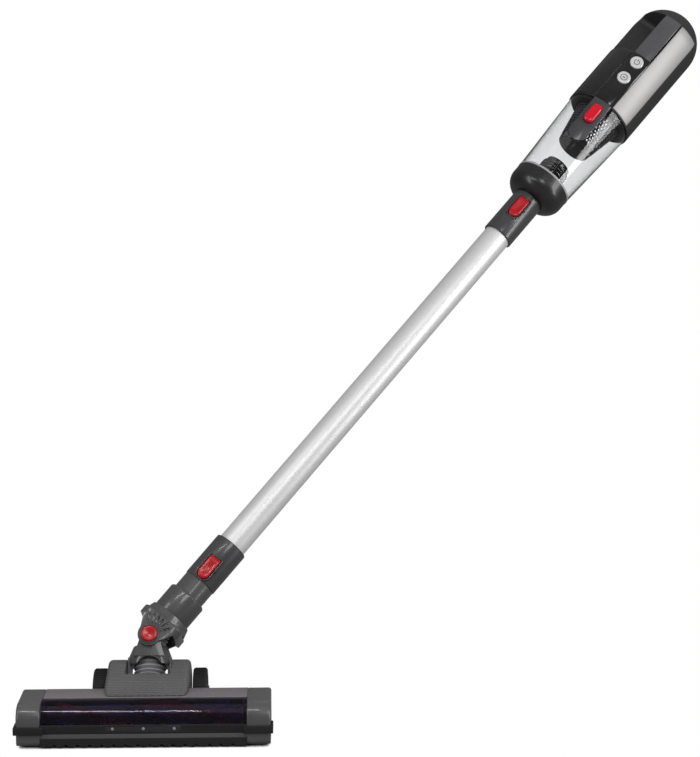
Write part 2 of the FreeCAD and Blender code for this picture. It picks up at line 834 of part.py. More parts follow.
def hose_upper():
    """Hose from the yoke's ring round the roll pivot into the elbow."""
    lean = S.lean_over
    bend = S.upper_hose_reach / Size(f"tan({(lean / 2).text})", math.tan(math.radians(lean.number / 2)))
    solids = []
    for radius in (S.upper_hose_outer, S.upper_hose_outer - S.hose_wall):
        elbow = doc.addObject("Part::Torus", "Bend")
        bind(elbow, "Radius1", bend)
        bind(elbow, "Radius2", radius)
        bind(elbow, "Angle3", lean)
        turn = Rotation(Vector(-1, 0, 0), Vector(0, 0, 1), Vector(0, 1, 0), "ZXY")
        elbow.Placement = Placement(Vector(), turn)
        bind_base(elbow, bend, 0, S.pitch_to_roll - S.upper_hose_reach)
        solids.append(elbow)
    sub_part("hose_upper", cut(*solids), YOKE)


def elbow_shroud():
    """Rounded block above the pivot, narrowing to a cheek over each of the yoke's lugs."""
    cheek_inner = S.arm_inner + S.arm_thick + S.swing_gap
    cheek_outer = cheek_inner + S.cheek_thick
    half = S.shroud_half
    block_outline = rounded_rectangle(-half, half, -cheek_outer, cheek_outer, S.shroud_round)
    block = Body("ShroudBody").pad("XY_Plane", block_outline, S.dome_low, S.dome_mid)
    block.fillet(2.5, lambda edge, point: abs(point.z - S.dome_mid.number) < 0.01)
    cheek_outline = [
        (-S.cheek_radius, 0),
        (S.cheek_radius, 0),
        (half - S.shroud_round + 5, S.dome_low + 1),
        (-half + S.shroud_round - 5, S.dome_low + 1),
    ]
    parts = [block.body, cone(S.dome_mid_radius, S.dome_high_radius, S.dome_mid - 1, S.dome_high)]
    for side in (-1, 1):
        parts.append(cylinder(S.cheek_radius, *span(side, cheek_inner, cheek_outer), "Y", (0, 0)))
        near, far = (cheek_inner, cheek_outer) if side < 0 else (-cheek_outer, -cheek_inner)
        parts.append(Body("CheekBody").pad("XZ_Plane", cheek_outline, near, far).body)
    bore = cylinder(S.upper_hose_outer + 0.4, S.dome_low - 1, S.dome_low + 6)
    duct = cylinder(S.neck_bore, S.dome_low, S.dome_high + 1)
    bolts = cylinder(S.bolt_radius, -cheek_outer - 1, cheek_outer + 1, "Y", (0, 0))
    sub_part("elbow_shroud", cut(fuse(*parts), bore, duct, bolts), STICK)
    bolt_inner = cheek_inner - S.swing_gap - S.lug_thick + 0.5
    rods = mirrored(lambda side: cylinder(S.bolt_radius, *span(side, bolt_inner, cheek_outer), "Y", (0, 0)))
    sub_part("pivot_bolts", group(*rods), STICK)
    cap_outer = cheek_outer + S.cap_thick
    caps = mirrored(lambda side: cylinder(S.cap_radius, *span(side, cheek_outer, cap_outer), "Y", (0, 0)))
    sub_part("pivot_caps", group(*caps), STICK)


def neck_tube():
    """Stepped neck above the elbow, ending in the spigot that the wand plugs onto."""
    spigot_top = S.neck_top + S.spigot_long
    outline = [
        (S.neck_bore, S.dome_high),
        (S.sleeve_radius, S.dome_high),
        (S.sleeve_radius, S.sleeve_top - 1.5),
        (S.sleeve_radius - 1.5, S.sleeve_top),
        (S.neck_radius, S.sleeve_top),
        (S.neck_radius, S.neck_top),
        (S.spigot_radius, S.neck_top),
        (S.spigot_radius, spigot_top),
        (S.neck_bore, spigot_top),
    ]
    neck = Body("NeckBody").revolve(outline)
    slot = tooth_slot(S.spigot_radius, latch_middle(S.neck_top) + 7, spigot_top + 1)
    sub_part("neck_tube", cut(neck.body, slot), STICK)


# ---------------------------------------------------------------------------- wand
def latch_middle(low):
    """Height of a latch's pin above the end of the collar that it sits in."""
    return low + S.latch_long / 2 + 1.5


def tooth_slot(radius, low, high):
    """Slot along a spigot that a latch's tooth drops into."""
    floor = -radius + S.tooth_deep + 0.6
    return box((-4, 4), (-radius - 1, floor), (low, high))


def latch(label, low, collar_outer, spigot):
    """Rocking latch with a tooth for the spigot's pocket and a domed thumb end."""
    middle = latch_middle(low)
    outer = collar_outer + S.latch_proud
    inner = outer - S.latch_thick
    half = S.latch_half - S.button_gap
    low_end = middle - S.latch_long / 2 + S.button_gap
    high_end = middle + S.latch_long / 2 - S.button_gap
    plate_outline = [
        Arc(half, 0, low_end),
        Arc(half, half, low_end + half),
        (half, high_end - 1.5),
        Arc(1.5, half - 1.5, high_end),
        (-half + 1.5, high_end),
        Arc(1.5, -half, high_end - 1.5),
        (-half, low_end + half),
    ]
    plate = Body("LatchBody").pad("XZ_Plane", plate_outline, inner, outer)
    plate.fillet(1.0, lambda edge, point: abs(point.y + outer.number) < 0.01)
    tooth = box((-3, 3), (-inner - 1, -spigot + S.tooth_deep), (middle + 8, middle + 11))
    pin = cylinder(1.2, -S.latch_half - 2, S.latch_half + 2, "X", (-inner - 0.4, middle))
    sub_part(label, fuse(plate.body, tooth, pin), STICK)


def collar(label, low, long, outer, bores, latch_low):
    """Collar with stepped bores and a slot for its latch; bores are (radius, low, high)."""
    high = low + long
    outline = [
        (10.0, low),
        (outer - 0.8, low),
        (outer, low + 0.8),
        (outer, high - 0.8),
        (outer - 0.6, high),
        (10.0, high),
    ]
    ring = Body("CollarBody").revolve(outline)
    middle = latch_middle(latch_low)
    slot = box((-S.latch_half, S.latch_half), (-outer - 1, -outer + 6),
               (middle - S.latch_long / 2, middle + S.latch_long / 2))
    pin_half = S.latch_half + 2.2
    pin_front = -outer - S.latch_proud + S.latch_thick - 1.9
    pin_hole = box((-pin_half, pin_half), (pin_front, -10), (middle - 1.4, middle + 1.4))
    holes = [cylinder(radius, start, end) for radius, start, end in bores]
    sub_part(label, cut(ring.body, slot, pin_hole, *holes), STICK)


def wand():
    """Tube between two collars, with a rocking latch in each."""
    sub_part("wand_tube", tube(S.tube_outer, S.tube_outer - S.tube_wall, tube_low, tube_high), STICK)
    spigot_bore = S.spigot_radius + S.slide_fit
    spigot_end = tube_low
    lower_bores = [
        (spigot_bore, collar_low - 1, spigot_end),
        (S.tube_outer, spigot_end, wand_visible_low + 1),
    ]
    collar("lower_collar", collar_low, S.lower_collar_long, S.lower_collar_outer, lower_bores, collar_low)
    latch("lower_latch", collar_low, S.lower_collar_outer, S.spigot_radius)
    inlet_bore = S.inlet_spigot + S.slide_fit
    upper_bores = [(S.tube_outer, upper_collar_low - 1, tube_high), (inlet_bore, tube_high, bin_low + 1)]
    collar("upper_collar", upper_collar_low, S.upper_collar_long, S.upper_collar_outer, upper_bores,
           upper_latch_low)
    latch("upper_latch", upper_latch_low, S.upper_collar_outer, S.inlet_spigot)


# ---------------------------------------------------------------------------- dust bin
def bin_cap():
    """Domed bottom cap of the bin, with a hole for the inlet pipe."""
    wall = 2.5
    flat = S.bin_low_radius - S.cap_round
    outline = [
        (S.inlet_outer, bin_low),
        (flat, bin_low),
        Arc(S.cap_round, S.bin_low_radius, bin_low + S.cap_round),
        (S.bin_low_radius, ring_low),
        (S.bin_low_radius - wall, ring_low),
        (S.bin_low_radius - wall, bin_low + S.cap_round),
        Arc(S.cap_round - wall, flat, bin_low + wall, bend=-1),
        (S.inlet_outer, bin_low + wall),
    ]
    sub_part("bin_cap", Body("BinCapBody").revolve(outline).body, STICK)


def bin_wall():
    """Clear flared wall of the bin."""
    outline = [
        (S.bin_low_radius - S.bin_wall, wall_low),
        (S.bin_low_radius, wall_low),
        (S.bin_high_radius, body_low),
        (S.bin_high_radius - S.bin_wall, body_low),
    ]
    wall = Body("BinWallBody").revolve(outline)
    sub_part("bin_wall", wall.body, STICK)
    ring = tube(S.bin_low_radius + 0.5, S.bin_low_radius - 2.5, ring_low, wall_low)
    sub_part("bin_ring", ring, STICK)


def inlet_pipe():
    """Pipe from the spigot under the bin up to the flap, with a ribbed collar."""
    inner = S.inlet_outer - S.inlet_wall
    top = bin_low + S.inlet_top
    outline = [
        (inner - 1.8, bin_low - S.inlet_spigot_long),
        (S.inlet_spigot, bin_low - S.inlet_spigot_long),
        (S.inlet_spigot, bin_low),
        (S.inlet_outer, bin_low),
        (S.inlet_outer, top - 14),
    ]
    for rib in range(3):
        rib_low = top - 14 + 4 * rib
        outline += [
            (S.inlet_outer + 2, rib_low),
            (S.inlet_outer + 2, rib_low + 2),
            (S.inlet_outer, rib_low + 2),
            (S.inlet_outer, rib_low + 4),
        ]
    outline += [(S.inlet_outer, top), (inner, top), (inner, bin_low), (inner - 1.8, bin_low)]
    pipe = Body("InletBody").revolve(outline)
    knuckle = box((-5, 5), (S.inlet_outer - 1, S.inlet_outer + 3), (top - 2, top + 2.4))
    slot = tooth_slot(S.inlet_spigot, bin_low - S.inlet_spigot_long - 1, latch_middle(upper_latch_low) + 12)
    pin_way = cylinder(0.9, -6, 6, "X", (S.inlet_outer + 1, top + 1))
    sub_part("inlet_pipe", cut(fuse(pipe.body, knuckle), slot, pin_way), STICK)


def inlet_flap():
    """Round flap resting on the pipe's end, hinged behind it by a pin in the knuckle."""
    top = bin_low + S.inlet_top
    disc = cylinder(S.inlet_outer - 0.5, top + 0.3, top + 0.3 + S.flap_thick)
    arm_reach = S.inlet_outer + 1
    arms = mirrored(lambda side: box(span(side, 5.4, 8.0), (4, arm_reach + 1.5), (top + 0.3, top + 2.3)))
    pin = cylinder(0.8, -8, 8, "X", (arm_reach, top + 1))
    notch = box((-5.3, 5.3), (S.inlet_outer - 1.7, S.inlet_outer + 4), (top, top + 4))
    sub_part("inlet_flap", fuse(cut(disc, notch), *arms, pin), STICK)


def tongue():
    """Latch housing down the front of the bin, and its sliding release button."""
    low = body_low - S.tongue_long
    outer = S.bin_high_radius + S.tongue_deep
    outline = [
        Arc(S.tongue_half, 0, low),
        Arc(S.tongue_half, S.tongue_half, low + S.tongue_half),
        (S.tongue_half, body_low - 0.3),
        (-S.tongue_half, body_low - 0.3),
        (-S.tongue_half, low + S.tongue_half),
    ]
    block = Body("TongueBody").pad("XZ_Plane", outline, S.bin_low_radius - 6, outer)
    trim = cone(S.bin_low_radius, S.bin_high_radius, wall_low, body_low)
    face_low, face_high = S.bin_low_radius + S.tongue_deep - 3, S.bin_high_radius + S.tongue_deep - 2
    face = cone(face_low, face_high, wall_low, body_low)
    middle = body_low - S.release_from_rim
    wide, tall = S.release_half_wide, S.release_long / 2
    pill = rounded_rectangle(-wide - S.button_gap, wide + S.button_gap, middle - tall - S.button_gap,
                             middle + tall + S.button_gap, 5.0)
    well = Body("WellBody").pad("XZ_Plane", pill, S.bin_high_radius + 0.2, outer + 2)
    housing = cut(common(block.body, face), trim, well.body)
    sub_part("latch_housing", housing, STICK)
    button_outline = rounded_rectangle(-wide, wide, middle - tall, middle + tall, 4.6)
    button = Body("ReleaseBody").pad("XZ_Plane", button_outline, S.bin_high_radius + 1.9, outer + 0.8)
    button.fillet(1.2, lambda edge, point: abs(point.y + outer.number + 0.8) < 0.01)
    sub_part("release_button", button.body, STICK)
    spring = cylinder(2.2, -S.bin_high_radius - 1.9, -S.bin_high_radius - 0.2, "Y", (0, middle))
    sub_part("release_spring", spring, STICK)


# ---------------------------------------------------------------------------- hand unit
def body_outline(radius, low):
    """Half section of the hand unit's outside: straight sides and a round end."""
    end = round_low + radius
    return [(0, low), (radius, low), (radius, round_low), Arc(radius, 0, end)]


def outside(radius, low):
    """Solid of the hand unit's outside at a given radius."""
    return Body("OutsideBody").revolve(body_outline(radius, low)).body


def sector(inner, outer, low, high, first, last):
    """Part of the hand unit's skin between two angles from its front, counted towards +X."""
    skin = cut(outside(outer, low), outside(inner, low - 1))
    wedge = doc.addObject("Part::Cylinder", "Wedge")
    wedge.Placement = Placement(Vector(), z_turn(-90 + as_size(first).number))
    bind(wedge, "Radius", outer + 10)
    bind(wedge, "Height", as_size(high) - low)
    bind(wedge, "Angle", as_size(last) - first)
    bind_base(wedge, 0, 0, low)
    return common(skin, wedge)


def grip_outline(clear=0.0):
    """Outline of the finger hollow, seen from the side: (y, height)."""
    low, high = body_low + S.grip_low + clear, body_low + S.grip_high - clear
    floor = -S.grip_floor - clear
    return [
        (-S.body_radius - 5, low),
        (floor - S.grip_round, low),
        Arc(S.grip_round, floor, low + S.grip_round),
        (floor, high - S.grip_round),
        Arc(S.grip_round, floor - S.grip_round, high),
        (-S.body_radius - 5, high),
    ]


def body_shell():
    """Main casing: round end, lined finger hollow, and holes for what sits in it."""
    skin = cut(outside(S.body_radius, body_low), outside(S.body_radius - S.shell_wall, body_low - 1))
    wall = S.shell_wall
    liner_outline = [
        (-S.body_radius - 5, body_low + S.grip_low - wall),
        (-S.grip_floor + wall, body_low + S.grip_low - wall),
        (-S.grip_floor + wall, body_low + S.grip_high + wall),
        (-S.body_radius - 5, body_low + S.grip_high + wall),
    ]
    liner = Body("LinerBody").pad("YZ_Plane", liner_outline, -S.body_radius - 5, S.grip_right + wall)
    filled = fuse(skin, common(liner.body, outside(S.body_radius, body_low)))
    hollow = Body("HollowBody").pad("YZ_Plane", grip_outline(), -S.body_radius - 6, S.grip_right)
    holes = [
        cylinder(S.button_radius + S.button_gap, -S.body_radius - 2, -S.body_radius + 5, "Y",
                 (0, body_low + up))
        for up in (S.mode_up, S.power_up)
    ]
    vent = box((-14, 14), (20, S.body_radius + 2), (body_low + 24, body_low + 64))
    jack_way = cylinder(S.jack_outer, 20, S.body_radius + 2, "Y", (0, body_low + S.jack_up))
    screw_ways = [cylinder(S.screw_radius, 20, S.body_radius + 2, "Y", at) for at in screw_places()]
    sub_part("body_shell", cut(filled, hollow.body, vent, jack_way, *holes, *screw_ways), STICK)


def screw_places():
    """Across and up the stick, where the casing's screws sit."""
    return [(20 * side, body_low + up) for side in (-1, 1) for up in (14.0, 104.0)]


def shell_screws():
    """Screws into the back of the casing."""
    screws = [cylinder(S.screw_radius, 27, 36.0, "Y", at) for at in screw_places()]
    return group(*screws)


def hand_panels():
    """Bright side panel, gloss side panel, control panel, and the strap over the hollow."""
    outer = S.body_radius + S.panel_proud
    low = body_low + S.panel_from
    near, far = S.panel_near_angle, S.panel_far_angle
    right = sector(S.body_radius, outer, low, round_low + S.panel_over_round, near, far)
    sub_part("side_panel_right", right, STICK)
    top = body_low + S.grip_low - 3
    left = sector(S.body_radius, outer, low, top, -far, -near)
    sub_part("side_panel_left", left, STICK)
    half = S.control_half_angle
    front = sector(S.body_radius, outer, low, body_low + S.grip_low - 1, -half, half)
    holes = [cylinder(S.button_radius + S.button_gap, -outer - 2, -30, "Y", (0, body_low + up))
             for up in (S.mode_up, S.power_up)]
    sub_part("control_panel", cut(front, *holes), STICK)
    strap_low, strap_high = body_low + S.grip_low, body_low + S.grip_high
    bar = box((-S.strap_half, S.strap_half), (-S.body_radius - 5, -S.strap_inner), (strap_low, strap_high))
    sub_part("handle_strap", common(bar, outside(S.body_radius, body_low)), STICK)


def hand_button(label, up):
    """Round button in the control panel, with a flange behind the casing."""
    height = body_low + up
    face = -S.body_radius - S.button_proud
    stem = cylinder(S.button_radius, face, -S.body_radius + 4.5, "Y", (0, height))
    sub_part(label, stem, STICK)


def control_board():
    """Circuit board behind the buttons, with a switch under each."""
    low, high = body_low + 32, body_low + S.grip_low - 5
    plate = box((-11, 11), (-34, -32.4), (low, high))
    switches = [cylinder(3.0, -35.6, -34, "Y", (0, body_low + up)) for up in (S.mode_up, S.power_up)]
    sub_part("control_board", fuse(plate, *switches), STICK)


def fan_pieces():
    """Bulkhead with the motor's mount, the motor on it and its spinning impeller."""
    inside = S.body_radius - S.shell_wall
    plate = tube(inside, S.filter_high_radius - 6, body_low, body_low + 4)
    mount = tube(S.impeller_radius + 4, S.impeller_radius + 2.5, body_low + 4, body_low + S.motor_high - 4)
    spider_low = body_low + S.motor_high - 8
    spider = tube(S.impeller_radius + 4, S.motor_radius, spider_low, spider_low + 4)
    sub_part("motor_bulkhead", fuse(plate, mount, spider), STICK)
    can = cylinder(S.motor_radius, body_low + S.motor_low, body_low + S.motor_high)
    shaft = cylinder(S.shaft_radius, body_low + S.impeller_low - 2, body_low + S.motor_low)
    sub_part("fan_motor", fuse(can, shaft), STICK)
    low, high = body_low + S.impeller_low, body_low + S.impeller_high
    hub = cylinder(7.0, low, high)
    back = cylinder(S.impeller_radius, high - 2, high)
    blades = []
    for number in range(7):
        blade = doc.addObject("Part::Box", "Blade")
        bind(blade, "Length", S.impeller_radius - 7)
        blade.Width = 1.6
        bind(blade, "Height", S.impeller_high - S.impeller_low)
        turn = Rotation(Vector(0, 0, 1), 360.0 * number / 7)
        blade.Placement = Placement(turn.multVec(Vector(6.5, -0.8, 0)), turn)
        bind(blade, ".Placement.Base.z", low)
        blades.append(blade)
    bore = cylinder(S.shaft_radius + S.running_fit, low - 1, high + 1)
    sub_part("impeller", cut(fuse(hub, back, *blades), bore), STICK)


def filter_pieces():
    """Mesh cone that hangs in the bin, and the pleated filter inside it."""
    low = body_low - S.filter_long
    wall = S.filter_wall
    outline = [
        (0, low),
        (S.filter_low_radius, low),
        (S.filter_high_radius, body_low),
        (S.filter_high_radius - wall, body_low),
        (S.filter_low_radius - wall, low + wall),
        (0, low + wall),
    ]
    sub_part("filter_cup", Body("CupBody").revolve(outline).body, STICK)
    foot, brim = S.filter_low_radius - wall - 3, S.filter_high_radius - wall - 3.5
    cartridge = cone(foot, brim, low + wall, body_low - 1)
    core = cylinder(8.0, low + wall + 6, body_low)
    sub_part("filter_cartridge", cut(cartridge, core), STICK)
    seal = tube(S.bin_high_radius - S.bin_wall - 0.6, S.filter_high_radius + 2, body_low - 3, body_low)
    sub_part("bin_seal", seal, STICK)


def power_pieces():
    """Battery cells, their holder, and the charging jack in the back of the casing."""
    low = body_low + S.cell_from
    high = low + S.cell_long
    places = [(step * (2 * S.cell_radius + 0.6), S.cell_y) for step in (-1, 0, 1)]
    cells = [cylinder(S.cell_radius, low, high, at=at) for at in places]
    sub_part("battery_cells", group(*cells), STICK)
    reach = 3 * S.cell_radius + 1.2
    block = box((-reach, reach), (S.cell_y - 7, S.cell_y + 7), (low - 2, low + 10))
    block_end = box((-reach, reach), (S.cell_y - 7, S.cell_y + 7), (high - 10, high + 2))
    wells = [cylinder(S.cell_radius, low, high, at=at) for at in places]
    end_wells = [cylinder(S.cell_radius, low, high, at=at) for at in places]
    sub_part("battery_holder", group(cut(block, *wells), cut(block_end, *end_wells)), STICK)
    up = body_low + S.jack_up
    floor = S.body_radius - 0.5 - S.jack_deep
    barrel = cylinder(S.jack_outer, floor - 3, S.body_radius - 0.8, "Y", (0, up))
    bore = cylinder(S.jack_bore, floor, S.body_radius + 1, "Y", (0, up))
    sub_part("charge_jack", cut(barrel, bore), STICK)


def exhaust_grille():
    """Slotted vent plate in the back of the casing."""
    inside = S.body_radius - S.shell_wall
    skin = cut(outside(S.body_radius + 0.4, body_low), outside(inside, body_low - 1))
    window = box((-14, 14), (20, S.body_radius + 2), (body_low + 24, body_low + 64))
    slot_lows = [body_low + 28 + 5 * row for row in range(7)]
    slots = [box((-10, 10), (30, 50), (slot_low, slot_low + 2)) for slot_low in slot_lows]
    sub_part("exhaust_grille", cut(common(skin, window), *slots), STICK)


# ---------------------------------------------------------------------------- build
head_base()
head_top_plate()
brush_window()
end_cap(-1, "end_cap_left")
end_cap(1, "end_cap_right")
front_bumper()
led_pieces()
saddle_cover()
pitch_pins()
wheel_axles()
wheel(-1, "left")
wheel(1, "right")
brush_pieces()
yoke()
hose_lower()
hose_upper()
elbow_shroud()
neck_tube()
wand()
bin_cap()
bin_wall()
inlet_pipe()
inlet_flap()
tongue()
body_shell()
sub_part("shell_screws", shell_screws(), STICK)
hand_panels()
hand_button("mode_button", S.mode_up)
hand_button("power_button", S.power_up)
control_board()
fan_pieces()
filter_pieces()
power_pieces()
exhaust_grille()

doc.recompute()
failed = [item.Name for item in doc.Objects if "Invalid" in item.State or "Error" in item.State]
failed += [item.Label for item in PARTS if item.Shape.isNull() or not item.Shape.isValid()]
if failed:
    raise RuntimeError(f"these pieces failed: {failed}")

os.makedirs("parts", exist_ok=True)
for piece in PARTS:
    piece.Shape.exportStep(f"parts/{piece.Label}.step")
    print(f"{piece.Label:20s} {len(piece.Shape.Solids)} solid(s) {piece.Shape.Volume / 1000:9.2f} cm3")
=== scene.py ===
"""Looks of the cordless stick vacuum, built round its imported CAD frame, in metres."""

import json
import logging
import math
from dataclasses import dataclass
from enum import Enum
from typing import ClassVar, Dict, List, Optional, Sequence, Tuple

import bmesh
import bpy
from mathutils import Matrix, Vector

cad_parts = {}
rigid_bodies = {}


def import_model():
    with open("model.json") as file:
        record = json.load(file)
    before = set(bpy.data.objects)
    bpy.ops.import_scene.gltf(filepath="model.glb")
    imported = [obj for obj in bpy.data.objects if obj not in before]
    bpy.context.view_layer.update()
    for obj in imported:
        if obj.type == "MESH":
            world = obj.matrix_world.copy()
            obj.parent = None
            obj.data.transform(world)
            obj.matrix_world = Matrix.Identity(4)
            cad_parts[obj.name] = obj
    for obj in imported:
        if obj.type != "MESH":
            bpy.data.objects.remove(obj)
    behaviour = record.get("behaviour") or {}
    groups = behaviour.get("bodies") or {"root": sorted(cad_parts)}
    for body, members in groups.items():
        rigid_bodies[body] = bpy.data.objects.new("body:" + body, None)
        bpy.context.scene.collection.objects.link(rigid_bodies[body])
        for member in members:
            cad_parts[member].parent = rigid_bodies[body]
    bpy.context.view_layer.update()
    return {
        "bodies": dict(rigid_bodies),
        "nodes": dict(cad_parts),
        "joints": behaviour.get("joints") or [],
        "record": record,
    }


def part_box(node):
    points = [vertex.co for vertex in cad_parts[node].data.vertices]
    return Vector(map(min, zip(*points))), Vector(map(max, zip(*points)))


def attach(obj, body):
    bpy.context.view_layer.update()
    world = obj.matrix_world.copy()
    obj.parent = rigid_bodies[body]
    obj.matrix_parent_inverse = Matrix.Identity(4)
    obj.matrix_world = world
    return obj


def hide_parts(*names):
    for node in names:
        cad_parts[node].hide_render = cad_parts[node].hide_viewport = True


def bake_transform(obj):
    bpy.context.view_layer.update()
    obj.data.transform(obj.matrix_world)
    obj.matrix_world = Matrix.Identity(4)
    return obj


Colour = Tuple[float, float, float]
Point2 = Tuple[float, float]
Point3 = Tuple[float, float, float]
MM = 0.001
LOG = logging.getLogger("stick_vacuum")


# ------------------------------------------------------------------ shader groups
class Bench:
    """A node tree with short ways to add and join nodes."""

    def __init__(self, tree: bpy.types.NodeTree) -> None:
        """Keep the tree."""
        self.tree = tree

    def add(self, kind: str, **inputs: object) -> bpy.types.Node:
        """Add a node and fill its inputs.

        Args:
            kind: the node's type name.
            inputs: value or socket for each input, by its name with underscores.

        Returns:
            The new node.
        """
        node = self.tree.nodes.new(kind)
        for name, value in inputs.items():
            self.feed(node, name.replace("_", " "), value)
        return node

    def feed(self, node: bpy.types.Node, name: object, value: object) -> None:
        """Join a socket to an input, or set the input's own value.

        Args:
            node: the node.
            name: name or number of the input.
            value: the socket to join, or the value to set.
        """
        socket = node.inputs[name]
        if isinstance(value, bpy.types.NodeSocket):
            self.tree.links.new(value, socket)
        else:
            socket.default_value = value

    def maths(self, operation: str, *values: object) -> bpy.types.NodeSocket:
        """Add a Math node and give its result.

        Args:
            operation: the node's operation.
            values: a socket or number for each input, in order.

        Returns:
            The result's socket.
        """
        node = self.tree.nodes.new("ShaderNodeMath")
        node.operation = operation
        for index, value in enumerate(values):
            self.feed(node, index, value)
        return node.outputs[0]

    def here(self) -> bpy.types.NodeSocket:
        """The place on the object, in its own axes."""
        return self.add("ShaderNodeTexCoord").outputs["Object"]


def shader_group(name: str, inputs: Sequence[Tuple[str, str, object]],
                 outputs: Sequence[Tuple[str, str]]) -> Tuple[Bench, Dict[str, object], bpy.types.Node]:
    """Start a shader node group with named sockets.

    Args:
        name: the group's name.
        inputs: (socket name, socket type, default value) for each input.
        outputs: (socket name, socket type) for each output.

    Returns:
        The bench on its tree, its input sockets by name, and its output node.
    """
    tree = bpy.data.node_groups.new(name, "ShaderNodeTree")
    for label, kind, value in inputs:
        socket = tree.interface.new_socket(label, in_out="INPUT", socket_type=kind)
        socket.default_value = value
    for label, kind in outputs:
        tree.interface.new_socket(label, in_out="OUTPUT", socket_type=kind)
    bench = Bench(tree)
    start = tree.nodes.new("NodeGroupInput")
    end = tree.nodes.new("NodeGroupOutput")
    return bench, {label: start.outputs[label] for label, _, _ in inputs}, end


FLOAT = "NodeSocketFloat"
VECTOR = "NodeSocketVector"
GRAIN_DEPTH = 0.4 * MM
STREAK_DEPTH = 0.3 * MM


def moulded_grain_group() -> bpy.types.NodeTree:
    """Fine moulded texture: a bumped normal and a cloudy mask for colour and gloss.

    Returns:
        The group's tree.
    """
    bench, given, end = shader_group(
        "moulded_grain",
        [("Grain Scale", FLOAT, 900.0), ("Relief", FLOAT, 0.1), ("Cloud Scale", FLOAT, 25.0)],
        [("Normal", VECTOR), ("Cloud", FLOAT)])
    place = bench.here()
    grain = bench.add("ShaderNodeTexNoise", Vector=place, Scale=given["Grain Scale"], Detail=3.0)
    cloud = bench.add("ShaderNodeTexNoise", Vector=place, Scale=given["Cloud Scale"], Detail=4.0)
    bump = bench.add("ShaderNodeBump", Strength=given["Relief"], Distance=GRAIN_DEPTH,
                     Height=grain.outputs[0])
    bench.feed(end, "Normal", bump.outputs[0])
    bench.feed(end, "Cloud", cloud.outputs[0])
    return bench.tree


def brushed_group() -> bpy.types.NodeTree:
    """Long fine streaks along the stick: a bumped normal and a streak mask.

    Returns:
        The group's tree.
    """
    bench, given, end = shader_group(
        "brushed_streaks",
        [("Stretch", VECTOR, (900.0, 900.0, 12.0)), ("Turn", VECTOR, (0.0, 0.0, 0.0)),
         ("Relief", FLOAT, 0.1)],
        [("Normal", VECTOR), ("Streak", FLOAT)])
    place = bench.here()
    turned = bench.add("ShaderNodeMapping", Vector=place, Rotation=given["Turn"])
    stretched = bench.tree.nodes.new("ShaderNodeVectorMath")
    stretched.operation = "MULTIPLY"
    bench.feed(stretched, 0, turned.outputs[0])
    bench.feed(stretched, 1, given["Stretch"])
    streak = bench.add("ShaderNodeTexNoise", Vector=stretched.outputs[0], Scale=1.0, Detail=3.0)
    bump = bench.add("ShaderNodeBump", Strength=given["Relief"], Distance=STREAK_DEPTH,
                     Height=streak.outputs[0])
    bench.feed(end, "Normal", bump.outputs[0])
    bench.feed(end, "Streak", streak.outputs[0])
    return bench.tree


def dust_group() -> bpy.types.NodeTree:
    """Thin dust on faces that look up, broken up by a soft noise.

    Returns:
        The group's tree.
    """
    bench, given, end = shader_group("settled_dust", [("Amount", FLOAT, 0.2), ("Speckle", FLOAT, 300.0)],
                                     [("Mask", FLOAT)])
    place = bench.here()
    normal = bench.add("ShaderNodeNewGeometry").outputs["Normal"]
    up = bench.add("ShaderNodeSeparateXYZ", Vector=normal).outputs["Z"]
    speck = bench.add("ShaderNodeTexNoise", Vector=place, Scale=given["Speckle"], Detail=5.0).outputs[0]
    facing = bench.maths("MAXIMUM", up, 0.0)
    sharp = bench.maths("POWER", facing, 2.0)
    mask = bench.maths("MULTIPLY", bench.maths("MULTIPLY", sharp, speck), given["Amount"])
    bench.feed(end, "Mask", mask)
    return bench.tree


def chevron_group() -> bpy.types.NodeTree:
    """Zigzag lines across X that climb along Y: a height between 0 and 1.

    Returns:
        The group's tree.
    """
    bench, given, end = shader_group("chevron_lines", [("Across", FLOAT, 280.0), ("Along", FLOAT, 1900.0)],
                                     [("Height", FLOAT)])
    place = bench.here()
    parts = bench.add("ShaderNodeSeparateXYZ", Vector=place)
    fold = bench.maths("PINGPONG", bench.maths("MULTIPLY", parts.outputs["X"], given["Across"]), 1.0)
    rise = bench.maths("ADD", parts.outputs["Y"], parts.outputs["Z"])
    climb = bench.maths("MULTIPLY", rise, given["Along"])
    wave = bench.maths("SINE", bench.maths("ADD", climb, bench.maths("MULTIPLY", fold, 3.0)))
    bench.feed(end, "Height", bench.maths("MULTIPLY_ADD", wave, 0.5, 0.5))
    return bench.tree


def lattice_group() -> bpy.types.NodeTree:
    """Diamond cross-hatch: a height between 0 and 1.

    Returns:
        The group's tree.
    """
    bench, given, end = shader_group("diamond_lattice", [("Pitch", FLOAT, 1500.0)], [("Height", FLOAT)])
    place = bench.here()
    parts = bench.add("ShaderNodeSeparateXYZ", Vector=place)
    across = bench.maths("ADD", parts.outputs["X"], parts.outputs["Y"])
    slants = [bench.maths(turn, across, parts.outputs["Z"]) for turn in ("ADD", "SUBTRACT")]
    lines = [bench.maths("SINE", bench.maths("MULTIPLY", slant, given["Pitch"])) for slant in slants]
    bench.feed(end, "Height", bench.maths("MAXIMUM", *lines))
    return bench.tree


class Groups:
    """The shader groups, each built once."""

    grain: bpy.types.NodeTree
    brushed: bpy.types.NodeTree
    dust: bpy.types.NodeTree
    chevron: bpy.types.NodeTree
    lattice: bpy.types.NodeTree

    @classmethod
    def build(cls) -> None:
        """Make every group."""
        cls.grain = moulded_grain_group()
        cls.brushed = brushed_group()
        cls.dust = dust_group()
        cls.chevron = chevron_group()
        cls.lattice = lattice_group()


